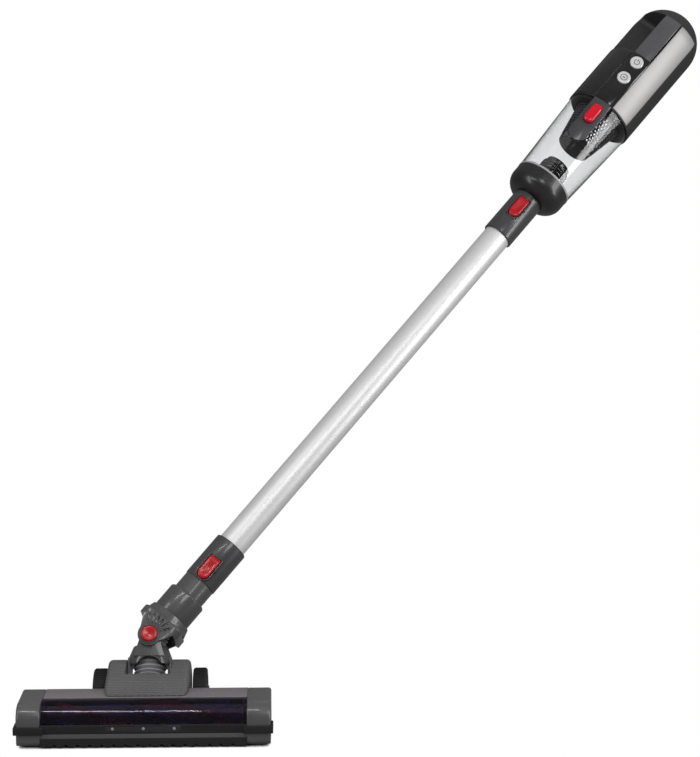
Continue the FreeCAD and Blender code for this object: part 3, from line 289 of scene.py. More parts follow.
def place_group(bench: Bench, tree: bpy.types.NodeTree, **inputs: object) -> bpy.types.Node:
    """Add a group node to a material and fill its inputs.

    Args:
        bench: the material's nodes.
        tree: the group.
        inputs: value or socket for each input, by its name with underscores.

    Returns:
        The group node.
    """
    node = bench.tree.nodes.new("ShaderNodeGroup")
    node.node_tree = tree
    for name, value in inputs.items():
        bench.feed(node, name.replace("_", " "), value)
    return node


def mixed_colour(bench: Bench, mask: object, first: object, second: object) -> bpy.types.NodeSocket:
    """The colour between two colours by a mask.

    Args:
        bench: the material's nodes.
        mask: 0 gives the first colour, 1 the second.
        first: a colour or its socket.
        second: a colour or its socket.

    Returns:
        The mixed colour's socket.
    """
    node = bench.tree.nodes.new("ShaderNodeMix")
    node.data_type = "RGBA"
    bench.feed(node, 0, mask)
    bench.feed(node, 6, first if isinstance(first, bpy.types.NodeSocket) else (*first, 1.0))
    bench.feed(node, 7, second if isinstance(second, bpy.types.NodeSocket) else (*second, 1.0))
    return node.outputs[2]


def mapped(bench: Bench, value: object, low: float, high: float) -> bpy.types.NodeSocket:
    """A 0 to 1 value spread between two others.

    Args:
        bench: the material's nodes.
        value: the socket of the value.
        low: what 0 becomes.
        high: what 1 becomes.

    Returns:
        The spread value's socket.
    """
    node = bench.tree.nodes.new("ShaderNodeMapRange")
    bench.feed(node, 0, value)
    bench.feed(node, 3, low)
    bench.feed(node, 4, high)
    return node.outputs[0]


def blank_material(name: str) -> Tuple[bpy.types.Material, Bench, bpy.types.Node]:
    """A new material with only a Principled shader on its output.

    Args:
        name: the material's name.

    Returns:
        The material, the bench on its nodes, and its shader.
    """
    material = bpy.data.materials.new(name)
    material.use_nodes = True
    tree = material.node_tree
    tree.nodes.clear()
    output = tree.nodes.new("ShaderNodeOutputMaterial")
    shader = tree.nodes.new("ShaderNodeBsdfPrincipled")
    tree.links.new(shader.outputs[0], output.inputs[0])
    return material, Bench(tree), shader


# ------------------------------------------------------------------ finishes
class Relief(Enum):
    """A moulded pattern that a plastic may carry over its grain."""

    NONE = "none"
    CHEVRON = "chevron"
    LATTICE = "lattice"


@dataclass(frozen=True)
class Finish:
    """What a surface is made of."""

    name: str
    colour: Colour

    def material(self) -> bpy.types.Material:
        """Build the material.

        Returns:
            The finished material.
        """
        material, bench, shader = blank_material(self.name)
        self.fill(bench, shader)
        return material

    def fill(self, bench: Bench, shader: bpy.types.Node) -> None:
        """Lay the finish's own nodes before its shader.

        Args:
            bench: the material's nodes.
            shader: its Principled shader.
        """
        raise NotImplementedError

    def shade(self, share: float) -> Colour:
        """Its colour, darkened to a share of itself."""
        return tuple(share * part for part in self.colour)


@dataclass(frozen=True)
class Plastic(Finish):
    """Moulded plastic or rubber."""

    roughness: float
    grain: float = 900.0
    relief: float = 0.12
    coat: float = 0.0
    dust: float = 0.12
    pattern: Relief = Relief.NONE

    CLOUD_DARK: ClassVar[float] = 0.82
    CLOUD_LIGHT: ClassVar[float] = 1.15
    LIGHT_FLOOR: ClassVar[float] = 0.004
    DUST_COLOUR: ClassVar[Colour] = (0.55, 0.54, 0.52)
    GLOSS_SPREAD: ClassVar[float] = 0.07
    COAT_ROUGHNESS: ClassVar[float] = 0.06
    # share of the colour left in the pattern's grooves: painted shade
    GROOVE_PAINTED_SHADE: ClassVar[float] = 0.45
    GROOVE_STRENGTH: ClassVar[float] = 0.8
    GROOVE_DEPTH: ClassVar[float] = 0.9 * MM

    def fill(self, bench: Bench, shader: bpy.types.Node) -> None:
        """Cloudy colour and gloss, settled dust, and the moulded pattern if there is one, with painted shade
        in its grooves.
        """
        grain = place_group(bench, Groups.grain, Grain_Scale=self.grain, Relief=self.relief)
        cloud = grain.outputs["Cloud"]
        lighter = tuple(min(1.0, self.CLOUD_LIGHT * part + self.LIGHT_FLOOR) for part in self.colour)
        dust = place_group(bench, Groups.dust, Amount=self.dust)
        colour = mixed_colour(bench, cloud, self.shade(self.CLOUD_DARK), lighter)
        colour = mixed_colour(bench, dust.outputs["Mask"], colour, self.DUST_COLOUR)
        smoothest = max(0.03, self.roughness - self.GLOSS_SPREAD)
        roughest = min(1.0, self.roughness + self.GLOSS_SPREAD)
        bench.feed(shader, "Roughness", mapped(bench, cloud, smoothest, roughest))
        normal = grain.outputs["Normal"]
        if self.pattern is not Relief.NONE:
            tree = Groups.chevron if self.pattern is Relief.CHEVRON else Groups.lattice
            height = place_group(bench, tree).outputs["Height"]
            normal = bench.add("ShaderNodeBump", Strength=self.GROOVE_STRENGTH, Distance=self.GROOVE_DEPTH,
                               Height=height, Normal=normal).outputs[0]
            # painted shade: the low parts of the moulded pattern are darkened as if shaded
            colour = mixed_colour(bench, height, self.shade(self.GROOVE_PAINTED_SHADE), colour)
        bench.feed(shader, "Base Color", colour)
        bench.feed(shader, "Normal", normal)
        shader.inputs["Coat Weight"].default_value = self.coat
        shader.inputs["Coat Roughness"].default_value = self.COAT_ROUGHNESS


@dataclass(frozen=True)
class Metal(Finish):
    """Metal with fine streaks along the stick."""

    roughness: float
    relief: float = 0.1
    turn: Point3 = (0.0, 0.0, 0.0)
    stretch: Point3 = (900.0, 900.0, 12.0)
    metallic: float = 1.0
    contrast: float = 0.12

    GLOSS_SPREAD: ClassVar[float] = 0.06

    def fill(self, bench: Bench, shader: bpy.types.Node) -> None:
        """Streaked colour, gloss and relief."""
        streaks = place_group(bench, Groups.brushed, Stretch=self.stretch, Turn=self.turn, Relief=self.relief)
        streak = streaks.outputs["Streak"]
        low, high = self.roughness - self.GLOSS_SPREAD, self.roughness + self.GLOSS_SPREAD
        darker = self.shade(1 - self.contrast)
        bench.feed(shader, "Base Color", mixed_colour(bench, streak, darker, self.colour))
        bench.feed(shader, "Roughness", mapped(bench, streak, low, high))
        bench.feed(shader, "Normal", streaks.outputs["Normal"])
        shader.inputs["Metallic"].default_value = self.metallic


@dataclass(frozen=True)
class Clear(Finish):
    """Clear or tinted plastic that light passes through."""

    roughness: float

    def fill(self, bench: Bench, shader: bpy.types.Node) -> None:
        """Faintly cloudy tint and gloss."""
        grain = place_group(bench, Groups.grain, Grain_Scale=60.0, Relief=0.03, Cloud_Scale=40.0)
        cloud = grain.outputs["Cloud"]
        bench.feed(shader, "Base Color", mixed_colour(bench, cloud, self.shade(0.9), self.colour))
        bench.feed(shader, "Roughness", mapped(bench, cloud, self.roughness, self.roughness + 0.03))
        shader.inputs["Transmission Weight"].default_value = 1.0
        shader.inputs["IOR"].default_value = 1.45


@dataclass(frozen=True)
class Fibre(Finish):
    """Bristle or filter fibre."""

    def fill(self, bench: Bench, shader: bpy.types.Node) -> None:
        """Strand by strand colour with a soft sheen."""
        grain = place_group(bench, Groups.grain, Grain_Scale=2500.0, Relief=0.3, Cloud_Scale=400.0)
        cloud = grain.outputs["Cloud"]
        bench.feed(shader, "Base Color", mixed_colour(bench, cloud, self.shade(0.55), self.colour))
        bench.feed(shader, "Roughness", mapped(bench, cloud, 0.45, 0.7))
        bench.feed(shader, "Normal", grain.outputs["Normal"])
        shader.inputs["Sheen Weight"].default_value = 0.25


@dataclass(frozen=True)
class Glow(Finish):
    """A small lamp under its lens."""

    strength: float

    def fill(self, bench: Bench, shader: bpy.types.Node) -> None:
        """Milky tint that shines a little."""
        grain = place_group(bench, Groups.grain, Grain_Scale=600.0, Relief=0.05, Cloud_Scale=500.0)
        tint = mixed_colour(bench, grain.outputs["Cloud"], self.shade(0.85), self.colour)
        bench.feed(shader, "Base Color", tint)
        bench.feed(shader, "Emission Color", tint)
        shader.inputs["Emission Strength"].default_value = self.strength
        shader.inputs["Roughness"].default_value = 0.2


class Paint:
    """Every finish of the vacuum, made once, by the part it is for."""

    def __init__(self, turn: Point3) -> None:
        """Make all the materials.

        Args:
            turn: rotation that lays the stick's length along Z, for brushed streaks.
        """
        finishes = [
            Plastic("base_black", (0.010, 0.010, 0.011), 0.5),
            Plastic("cap_grey", (0.082, 0.079, 0.083), 0.3, coat=0.5),
            Plastic("plate_grey", (0.175, 0.158, 0.171), 0.34, coat=0.3),
            Plastic("saddle_grey", (0.165, 0.161, 0.165), 0.42, pattern=Relief.CHEVRON),
            Plastic("ear_grey", (0.150, 0.147, 0.150), 0.45, pattern=Relief.LATTICE),
            Plastic("elbow_grey", (0.072, 0.069, 0.072), 0.34, coat=0.4),
            Plastic("collar_grey", (0.050, 0.049, 0.053), 0.32, coat=0.35),
            Plastic("hand_black", (0.014, 0.014, 0.015), 0.33, coat=0.25),
            Plastic("side_black", (0.024, 0.024, 0.025), 0.5, grain=1200.0),
            Plastic("gloss_black", (0.008, 0.008, 0.009), 0.14, relief=0.02, coat=0.8),
            Plastic("strap_grey", (0.090, 0.088, 0.095), 0.22, relief=0.03, coat=0.7),
            Plastic("rubber_black", (0.007, 0.007, 0.007), 0.66, grain=700.0, relief=0.25, dust=0.02),
            Plastic("red_gloss", (0.46, 0.004, 0.010), 0.3, relief=0.03, coat=0.3, dust=0.0),
            Plastic("red_bright", (0.72, 0.001, 0.020), 0.22, relief=0.03, coat=0.6, dust=0.0),
            Plastic("hose_grey", (0.26, 0.26, 0.27), 0.36, relief=0.05, coat=0.2),
            Plastic("ring_light", (0.42, 0.42, 0.44), 0.3, relief=0.03, coat=0.4),
            Plastic("lens_dark", (0.010, 0.010, 0.016), 0.15, relief=0.02, coat=0.8),
            Plastic("core_violet", (0.035, 0.022, 0.060), 0.4),
            Plastic("board_green", (0.02, 0.10, 0.04), 0.35),
            Plastic("cell_blue", (0.03, 0.12, 0.35), 0.35),
            Metal("wand_satin", (0.88, 0.88, 0.88), 0.42, turn=turn, stretch=(1500.0, 1500.0, 9.0),
                  metallic=0.4, contrast=0.06, relief=0.05),
            Metal("panel_silver", (0.50, 0.49, 0.485), 0.5, turn=turn, stretch=(1500.0, 1500.0, 14.0),
                  metallic=0.5),
            Metal("button_silver", (0.84, 0.84, 0.85), 0.34, turn=turn, stretch=(400.0, 400.0, 400.0),
                  metallic=0.3),
            Metal("steel", (0.55, 0.56, 0.58), 0.3, stretch=(300.0, 300.0, 300.0)),
            Metal("brass", (0.75, 0.55, 0.25), 0.3, stretch=(300.0, 300.0, 300.0)),
            Metal("screen_steel", (0.42, 0.42, 0.44), 0.35, stretch=(500.0, 500.0, 500.0)),
            Clear("smoked_window", (0.32, 0.24, 0.40), 0.02),
            Clear("clear_bin", (0.95, 0.955, 0.96), 0.0),
            Fibre("bristle_red", (0.62, 0.02, 0.05)),
            Fibre("bristle_blue", (0.04, 0.06, 0.42)),
            Fibre("filter_paper", (0.75, 0.74, 0.70)),
            Glow("lamp_white", (0.30, 0.31, 0.34), 0.05),
        ]
        self.made = {finish.name: finish.material() for finish in finishes}

    def __getitem__(self, name: str) -> bpy.types.Material:
        """The material of that name."""
        return self.made[name]


# ------------------------------------------------------------------ stick frame
class Stick:
    """The stick's own frame: origin at the roll pivot, +Z along the stick, -Y to its front."""

    def __init__(self, joints: Sequence[dict]) -> None:
        """Read the frame from the joints.

        Args:
            joints: the frame's joints.
        """
        by_name = {joint["name"]: joint for joint in joints}
        roll = by_name["stick_roll"]
        self.origin = Vector(roll["pos_m"])
        self.back = Vector(roll["axis"]).normalized()
        self.up = -Vector(by_name["bin_slide"]["axis"]).normalized()
        self.side = self.back.cross(self.up).normalized()
        turned = Matrix((self.side, self.back, self.up)).transposed().to_4x4()
        self.matrix = Matrix.Translation(self.origin) @ turned
        self.inverse = self.matrix.inverted()
        self.turn = tuple(self.matrix.to_3x3().inverted().to_euler())

    def place(self, x: float, y: float, z: float) -> Vector:
        """A stick-frame point in the row frame."""
        return self.matrix @ Vector((x, y, z))

    def box(self, node: bpy.types.Object) -> Tuple[Vector, Vector]:
        """Lowest and highest corner of a CAD node in the stick frame.

        Args:
            node: the CAD node's object.

        Returns:
            The two corners.
        """
        points = [self.inverse @ vertex.co for vertex in node.data.vertices]
        low = Vector(tuple(min(point[axis] for point in points) for axis in range(3)))
        high = Vector(tuple(max(point[axis] for point in points) for axis in range(3)))
        return low, high


# ------------------------------------------------------------------ mesh helpers
def mesh_piece(name: str, vertices: Sequence[Vector], faces: Sequence[Sequence[int]],
               material: bpy.types.Material, matrix: Optional[Matrix] = None,
               smooth: float = 40.0) -> bpy.types.Object:
    """Make a mesh object at the origin with its place in its vertices.

    Args:
        name: the piece's name.
        vertices: its points.
        faces: its faces, as vertex numbers.
        material: its finish.
        matrix: turns and moves the points first.
        smooth: edges flatter than this many degrees are shaded smooth.

    Returns:
        The new object.
    """
    mesh = bpy.data.meshes.new(name)
    mesh.from_pydata([tuple(point) for point in vertices], [], [tuple(face) for face in faces])
    if matrix is not None:
        mesh.transform(matrix)
    tidy_mesh(mesh, smooth)
    mesh.materials.append(material)
    return linked(name, mesh)


def linked(name: str, data: bpy.types.ID) -> bpy.types.Object:
    """A new object in the scene, at the origin."""
    piece = bpy.data.objects.new(name, data)
    bpy.context.scene.collection.objects.link(piece)
    return piece


def tidy_mesh(mesh: bpy.types.Mesh, smooth: float) -> None:
    """Merge doubles, point the faces outwards and shade by angle.

    Args:
        mesh: the mesh.
        smooth: edges flatter than this many degrees are shaded smooth.
    """
    work = bmesh.new()
    work.from_mesh(mesh)
    bmesh.ops.remove_doubles(work, verts=work.verts, dist=1e-6)
    bmesh.ops.recalc_face_normals(work, faces=work.faces)
    work.to_mesh(mesh)
    work.free()
    mesh.polygons.foreach_set("use_smooth", [True] * len(mesh.polygons))
    mesh.set_sharp_from_angle(angle=math.radians(smooth))


def baked(piece: bpy.types.Object) -> bpy.types.Object:
    """Apply a piece's modifiers and leave a plain mesh.

    Args:
        piece: the piece.

    Returns:
        The same piece.
    """
    depsgraph = bpy.context.evaluated_depsgraph_get()
    mesh = bpy.data.meshes.new_from_object(piece.evaluated_get(depsgraph))
    piece.modifiers.clear()
    piece.data = mesh
    return piece


def band(count: int, first: int = 0, second: int = 1) -> List[Tuple[int, ...]]:
    """Faces between two rings of points.

    Args:
        count: how many points each ring has.
        first: number of the one ring.
        second: number of the other.

    Returns:
        The faces, as vertex numbers.
    """
    near, far = first * count, second * count
    pairs = [(index, (index + 1) % count) for index in range(count)]
    return [(near + here, near + there, far + there, far + here) for here, there in pairs]


def lid(count: int, ring: int = 0) -> Tuple[int, ...]:
    """One face over a whole ring of points."""
    return tuple(range(ring * count, (ring + 1) * count))


def rounded(points: Sequence[Point3], steps: int = 5) -> List[Point2]:
    """Round the corners of a closed outline.

    Args:
        points: (x, y, corner radius) for each corner, in order round the outline.
        steps: points on each rounded corner.

    Returns:
        The rounded outline.
    """
    result: List[Point2] = []
    count = len(points)
    for index, (x, y, radius) in enumerate(points):
        here = Vector((x, y))
        if radius <= 0:
            result.append((x, y))
            continue
        before = Vector(points[index - 1][:2]) - here
        after = Vector(points[(index + 1) % count][:2]) - here
        half = before.angle(after) / 2
        reach = min(radius / math.tan(half), before.length * 0.49, after.length * 0.49)
        first = here + before.normalized() * reach
        last = here + after.normalized() * reach
        for step in range(steps + 1):
            share = step / steps
            mid = first.lerp(here, share).lerp(here.lerp(last, share), share)
            result.append((mid.x, mid.y))
    return result


def ring_outline(inner: float, outer: float, low: float, high: float, soft: float,
                 inner_soft: float = 0.0) -> List[Point2]:
    """Outline of a ring whose outer corners are rounded.

    Args:
        inner: its inner radius.
        outer: its outer radius.
        low: height of its foot.
        high: height of its top.
        soft: radius of its outer corners.
        inner_soft: radius of its inner corners.

    Returns:
        The outline, as (radius, height).
    """
    return rounded([(inner, low, inner_soft), (outer, low, soft),
                    (outer, high, soft), (inner, high, inner_soft)])


def lathe(name: str, outline: Sequence[Point2], material: bpy.types.Material, matrix: Matrix,
          segments: int = 96) -> bpy.types.Object:
    """Turn a closed outline of (radius, height) about Z.

    Args:
        name: the piece's name.
        outline: closed outline; points with radius 0 lie on the axis.
        material: its finish.
        matrix: places the result.
        segments: faces round the axis.

    Returns:
        The turned piece.
    """
    vertices, faces = [], []
    count = len(outline)
    for turn in range(segments):
        angle = 2 * math.pi * turn / segments
        vertices += [Vector((r * math.cos(angle), r * math.sin(angle), z)) for r, z in outline]
    for turn in range(segments):
        here, there = turn * count, ((turn + 1) % segments) * count
        for index in range(count):
            following = (index + 1) % count
            if outline[index][0] == 0 and outline[following][0] == 0:
                continue
            faces.append((here + index, there + index, there + following, here + following))
    return mesh_piece(name, vertices, faces, material, matrix, smooth=35.0)


def key_piece(name: str, outline: Sequence[Point2], base: float, top: float, dimple: float,
              material: bpy.types.Material, matrix: Matrix, edge: float = 1.2 * MM) -> bpy.types.Object:
    """A press key: an outline raised to a rounded edge with a hollowed middle.

    Args:
        name: the piece's name.
        outline: its outline in (x, z), about its own middle.
        base: how far out its foot is.
        top: how far out its rim is.
        dimple: depth of the hollow in its middle.
        material: its finish.
        matrix: places it; the key faces -Y.
        edge: radius of its rounded edge.

    Returns:
        The key.
    """
    middle = Vector((sum(p[0] for p in outline) / len(outline), sum(p[1] for p in outline) / len(outline)))
    half = min(max(p[0] for p in outline) - middle.x, max(p[1] for p in outline) - middle.y)
    rings = [(0.0, base), (0.0, top - edge), (0.3 * edge, top - 0.35 * edge), (edge, top)]
    for step in range(1, 7):
        share = step / 7
        inset = edge + (half - edge) * share
        rings.append((inset, top - dimple * math.sin(share * math.pi / 2) ** 2))
    vertices = []
    for inset, out in rings:
        scale = 1.0 - inset / half
        vertices += [Vector((middle.x + (x - middle.x) * scale, -out, middle.y + (z - middle.y) * scale))
                     for x, z in outline]
    count, last = len(outline), len(rings) - 1
    faces = [face for ring in range(last) for face in band(count, ring, ring + 1)]
    faces += [lid(count), lid(count, last)]
    return mesh_piece(name, vertices, faces, material, matrix, smooth=50.0)


def d_outline(half: float, low: float, high: float, steps: int = 20) -> List[Point2]:
    """A D shape: round at its low end, square with small corners at its high end.

    Args:
        half: half its width.
        low: its lowest point.
        high: its highest point.
        steps: points on its round end.

    Returns:
        The outline, as (x, z).
    """
    angles = [math.pi + math.pi * step / steps for step in range(steps + 1)]
    points = [(half * math.cos(angle), low + half + half * math.sin(angle)) for angle in angles]
    corner = 1.6 * MM
    for centre_x, start in ((half - corner, 0.0), (-half + corner, math.pi / 2)):
        for step in range(6):
            angle = start + math.pi / 2 * step / 5
            points.append((centre_x + corner * math.cos(angle), high - corner + corner * math.sin(angle)))
    return points


def pill_outline(half_wide: float, low: float, high: float, radius: float) -> List[Point2]:
    """A rectangle with equal round corners."""
    corners = [(half_wide, low), (half_wide, high), (-half_wide, high), (-half_wide, low)]
    return rounded([(x, z, radius) for x, z in corners], steps=8)


def circle_outline(radius: float, steps: int = 48) -> List[Point2]:
    """A circle about the origin.

    Args:
        radius: its radius.
        steps: how many points.

    Returns:
        The outline, as (x, z).
    """
    angles = [2 * math.pi * step / steps for step in range(steps)]
    return [(radius * math.cos(angle), radius * math.sin(angle)) for angle in angles]


class Shop:
    """Softens and dresses CAD nodes, and keeps what every sub-assembly needs."""

    SHARP: ClassVar[float] = math.radians(35.0)

    def __init__(self, frame: dict) -> None:
        """Read the frame and make the finishes.

        Args:
            frame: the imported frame.
        """
        self.nodes: Dict[str, bpy.types.Object] = frame["nodes"]
        record = frame["record"]
        bodies: Dict[str, List[str]] = record["behaviour"]["bodies"]
        self.home = {node: body for body, members in bodies.items() for node in members}
        self.slots = {entry["node"]: entry["material_slot"] for entry in record["subparts"]}
        self.joints = {joint["name"]: joint for joint in frame["joints"]}
        self.stick = Stick(frame["joints"])
        Groups.build()
        self.paint = Paint(self.stick.turn)

    def box(self, node: str) -> Tuple[Vector, Vector]:
        """Lowest and highest corner of a CAD node in the stick frame."""
        return self.stick.box(self.nodes[node])

    def softened(self, node: str, finish: str, width: float, sides: float = 0.0) -> bpy.types.Object:
        """Stand a copy of a CAD node with rounded edges in for it.

        Args:
            node: the CAD node.
            finish: the finish's name.
            width: how wide its edges are rounded.
            sides: how wide the upper edges of its outermost side faces are rounded first.

        Returns:
            The new piece.
        """
        mesh = self.nodes[node].data.copy()
        work = bmesh.new()
        work.from_mesh(mesh)
        bmesh.ops.remove_doubles(work, verts=work.verts, dist=2e-6)
        bmesh.ops.dissolve_limit(work, angle_limit=math.radians(1.0), verts=work.verts, edges=work.edges)
        if sides > 0.0:
            self.round_sides(work, sides)
        work.to_mesh(mesh)
        work.free()
        mesh.materials.clear()
        mesh.materials.append(self.paint[finish])
        piece = linked(f"{node}_soft", mesh)
        bevel = piece.modifiers.new("round_edges", "BEVEL")
        bevel.width = width
        bevel.segments = 3
        bevel.limit_method = "ANGLE"
        bevel.angle_limit = self.SHARP
        bevel.use_clamp_overlap = True
        baked(piece)
        piece.data.polygons.foreach_set("use_smooth", [True] * len(piece.data.polygons))
        piece.data.set_sharp_from_angle(angle=math.radians(30.0))
        return self.stand_in(piece, node)

    @staticmethod
    def round_sides(work: bmesh.types.BMesh, width: float) -> None:
        """Round the upper edges of a mesh's outermost side faces.

        Args:
            work: the mesh.
            width: how wide the edges are rounded.
        """
        reach = max(abs(vertex.co.x) for vertex in work.verts) - 0.01 * MM
        foot = min(vertex.co.z for vertex in work.verts) + width
        rim = [edge for edge in work.edges
               if all(abs(vertex.co.x) > reach and vertex.co.z > foot for vertex in edge.verts)
               and edge.calc_face_angle(0.0) > Shop.SHARP]
        bmesh.ops.bevel(work, geom=rim, offset=width, segments=5, profile=0.5, affect="EDGES",
                        clamp_overlap=True)

    def stand_in(self, piece: bpy.types.Object, *nodes: str) -> bpy.types.Object:
        """Ride a piece on its nodes' body, in place of them.

        Args:
            piece: the piece.
            nodes: the CAD nodes that it stands for.

        Returns:
            The same piece.
        """
        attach(piece, self.home[nodes[0]])
        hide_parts(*nodes)
        LOG.info("%s stands in for %s", piece.name, ", ".join(nodes))
        return piece

    def add(self, piece: bpy.types.Object, body: str, slot: str) -> bpy.types.Object:
        """Ride an extra piece on a body.

        Args:
            piece: the piece.
            body: the body it rides on.
            slot: not used.

        Returns:
            The same piece.
        """
        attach(piece, body)
        LOG.info("%s rides on %s", piece.name, body)
        return piece

    def turned(self, node: str, name: str, outline: Sequence[Point2], finish: str, matrix: Matrix,
               segments: int = 96) -> bpy.types.Object:
        """Stand a turned piece in for a CAD node.

        Args:
            node: the CAD node.
            name: the piece's name.
            outline: closed outline of (radius, height).
            finish: the finish's name.
            matrix: places the result.
            segments: faces round the axis.

        Returns:
            The turned piece.
        """
        return self.stand_in(lathe(name, outline, self.paint[finish], matrix, segments), node)

    def dress(self, finish: str, *nodes: str) -> None:
        """Give CAD nodes a finish.

        Args:
            finish: the finish's name.
            nodes: the CAD nodes.
        """
        for node in nodes:
            data = self.nodes[node].data
            data.materials.clear()
            data.materials.append(self.paint[finish])
            LOG.info("%s dressed in %s", node, finish)


# ------------------------------------------------------------------ geometry trees
class Tree:
    """A Geometry Nodes tree with named inputs, built in code."""

    def __init__(self, name: str, sizes: Dict[str, float], finish: bpy.types.Material) -> None:
        """Start the tree.

        Args:
            name: the tree's name.
            sizes: value of each named input.
            finish: what the result is made of.
        """
        self.tree = bpy.data.node_groups.new(name, "GeometryNodeTree")
        self.sizes = sizes
        self.finish = finish
        self.tree.interface.new_socket("Geometry", in_out="INPUT", socket_type="NodeSocketGeometry")
        for label in sizes:
            self.tree.interface.new_socket(label, in_out="INPUT", socket_type="NodeSocketFloat")
        self.tree.interface.new_socket("Geometry", in_out="OUTPUT", socket_type="NodeSocketGeometry")
        self.start = self.tree.nodes.new("NodeGroupInput")
        self.end = self.tree.nodes.new("NodeGroupOutput")
        self.bench = Bench(self.tree)

    def size(self, label: str) -> bpy.types.NodeSocket:
        """A named input's socket."""
        return self.start.outputs[label]

    def xyz(self, x: object = 0.0, y: object = 0.0, z: object = 0.0) -> bpy.types.NodeSocket:
        """A vector from three values."""
        return self.bench.add("ShaderNodeCombineXYZ", X=x, Y=y, Z=z).outputs[0]

    def scatter(self, points: object, instance: object, rotation: object) -> bpy.types.NodeSocket:
        """Put a copy of a shape on each point."""
        node = self.bench.add("GeometryNodeInstanceOnPoints", Points=points, Instance=instance,
                              Rotation=rotation)
        return node.outputs[0]

    def finished(self, name: str, geometry: bpy.types.NodeSocket, matrix: Matrix) -> bpy.types.Object:
        """End the tree, run it, and leave a plain mesh.

        Args:
            name: the piece's name.
            geometry: what the tree makes.
            matrix: places the result.

        Returns:
            The new piece.
        """
        real = self.bench.add("GeometryNodeRealizeInstances", Geometry=geometry)
        dressed = self.bench.add("GeometryNodeSetMaterial", Geometry=real.outputs[0], Material=self.finish)
        self.bench.feed(self.end, "Geometry", dressed.outputs[0])
        piece = linked(name, bpy.data.meshes.new(name))
        maker = piece.modifiers.new("maker", "NODES")
        maker.node_group = self.tree
        for item in self.tree.interface.items_tree:
            if item.in_out == "INPUT" and item.name in self.sizes:
                maker[item.identifier] = float(self.sizes[item.name])
        baked(piece)
        piece.data.transform(matrix)
        tidy_mesh(piece.data, 40.0)
        return piece


def helix_bristles(shop: Shop, name: str, finish: str, half_long: float, core: float, tip: float,
                   phase: float, matrix: Matrix) -> bpy.types.Object:
    """Rows of tufts along a helix round the brush core.

    Args:
        shop: the finishes.
        name: the piece's name.
        finish: the bristles' finish.
        half_long: half the length of the rows.
        core: radius that the tufts stand on.
        tip: radius of their tips.
        phase: angle of the first row.
        matrix: places the roll's axis.

    Returns:
        The bristles.
    """
    sizes = {"Half Long": half_long, "Core": core, "Hair": tip - core, "Phase": phase, "Tufts": 1500.0,
             "Turn": 1.5 * math.pi, "Spread": 0.36}
    tree = Tree(f"{name}_tree", sizes, shop.paint[finish])
    bench = tree.bench
    count = bench.tree.nodes.new("FunctionNodeFloatToInt")
    bench.feed(count, 0, tree.size("Tufts"))
    rows = []
    for row in (0.0, math.pi):
        line = bench.add("GeometryNodeMeshLine", Count=count.outputs[0])
        index = bench.add("GeometryNodeInputIndex").outputs[0]
        share = bench.maths("DIVIDE", index, tree.size("Tufts"))
        along = bench.maths("MULTIPLY", bench.maths("MULTIPLY_ADD", share, 2.0, -1.0), tree.size("Half Long"))
        placed = bench.add("GeometryNodeSetPosition", Geometry=line.outputs[0], Position=tree.xyz(x=along))
        chance = bench.tree.nodes.new("FunctionNodeRandomValue")
        bench.feed(chance, 2, -1.0)
        bench.feed(chance, 3, 1.0)
        chance.inputs["Seed"].default_value = 11 if row else 5
        jitter = bench.maths("MULTIPLY", chance.outputs[1], tree.size("Spread"))
        wound = bench.maths("MULTIPLY_ADD", share, tree.size("Turn"), tree.size("Phase"))
        angle = bench.maths("ADD", bench.maths("ADD", wound, row), jitter)
        hair = bench.add("GeometryNodeMeshCone", Vertices=4, Radius_Top=0.1 * MM, Radius_Bottom=0.55 * MM,
                         Depth=tree.size("Hair"))
        lifted = bench.add("GeometryNodeTransform", Geometry=hair.outputs[0],
                           Translation=tree.xyz(z=tree.size("Core")))
        rows.append(tree.scatter(placed.outputs[0], lifted.outputs[0], tree.xyz(x=angle, y=jitter)))
    joined = bench.tree.nodes.new("GeometryNodeJoinGeometry")
    for row_socket in rows:
        bench.tree.links.new(row_socket, joined.inputs[0])
    return tree.finished(name, joined.outputs[0], matrix)


def ring_of_bars(shop: Shop, name: str, finish: str, count: int, radius: float, bar: Point3,
                 matrix: Matrix) -> bpy.types.Object:
    """Bars set evenly round a circle about Z, each with its length along Z.

    Args:
        shop: the finishes.
        name: the piece's name.
        finish: the bars' finish.
        count: how many bars.
        radius: how far from the axis their middles are.
        bar: width round the circle, depth outwards and length along the axis.
        matrix: places the axis.

    Returns:
        The ring of bars.
    """
    tree = Tree(f"{name}_tree", {"Radius": radius, "Wide": bar[0], "Deep": bar[1], "Long": bar[2]},
                shop.paint[finish])
    bench = tree.bench
    circle = bench.add("GeometryNodeMeshCircle", Vertices=count, Radius=tree.size("Radius"))
    index = bench.add("GeometryNodeInputIndex").outputs[0]
    angle = bench.maths("MULTIPLY", index, 2 * math.pi / count)
    size = tree.xyz(tree.size("Deep"), tree.size("Wide"), tree.size("Long"))
    block = bench.add("GeometryNodeMeshCube", Size=size)
    bars = tree.scatter(circle.outputs[0], block.outputs[0], tree.xyz(z=angle))
    return tree.finished(name, bars, matrix)


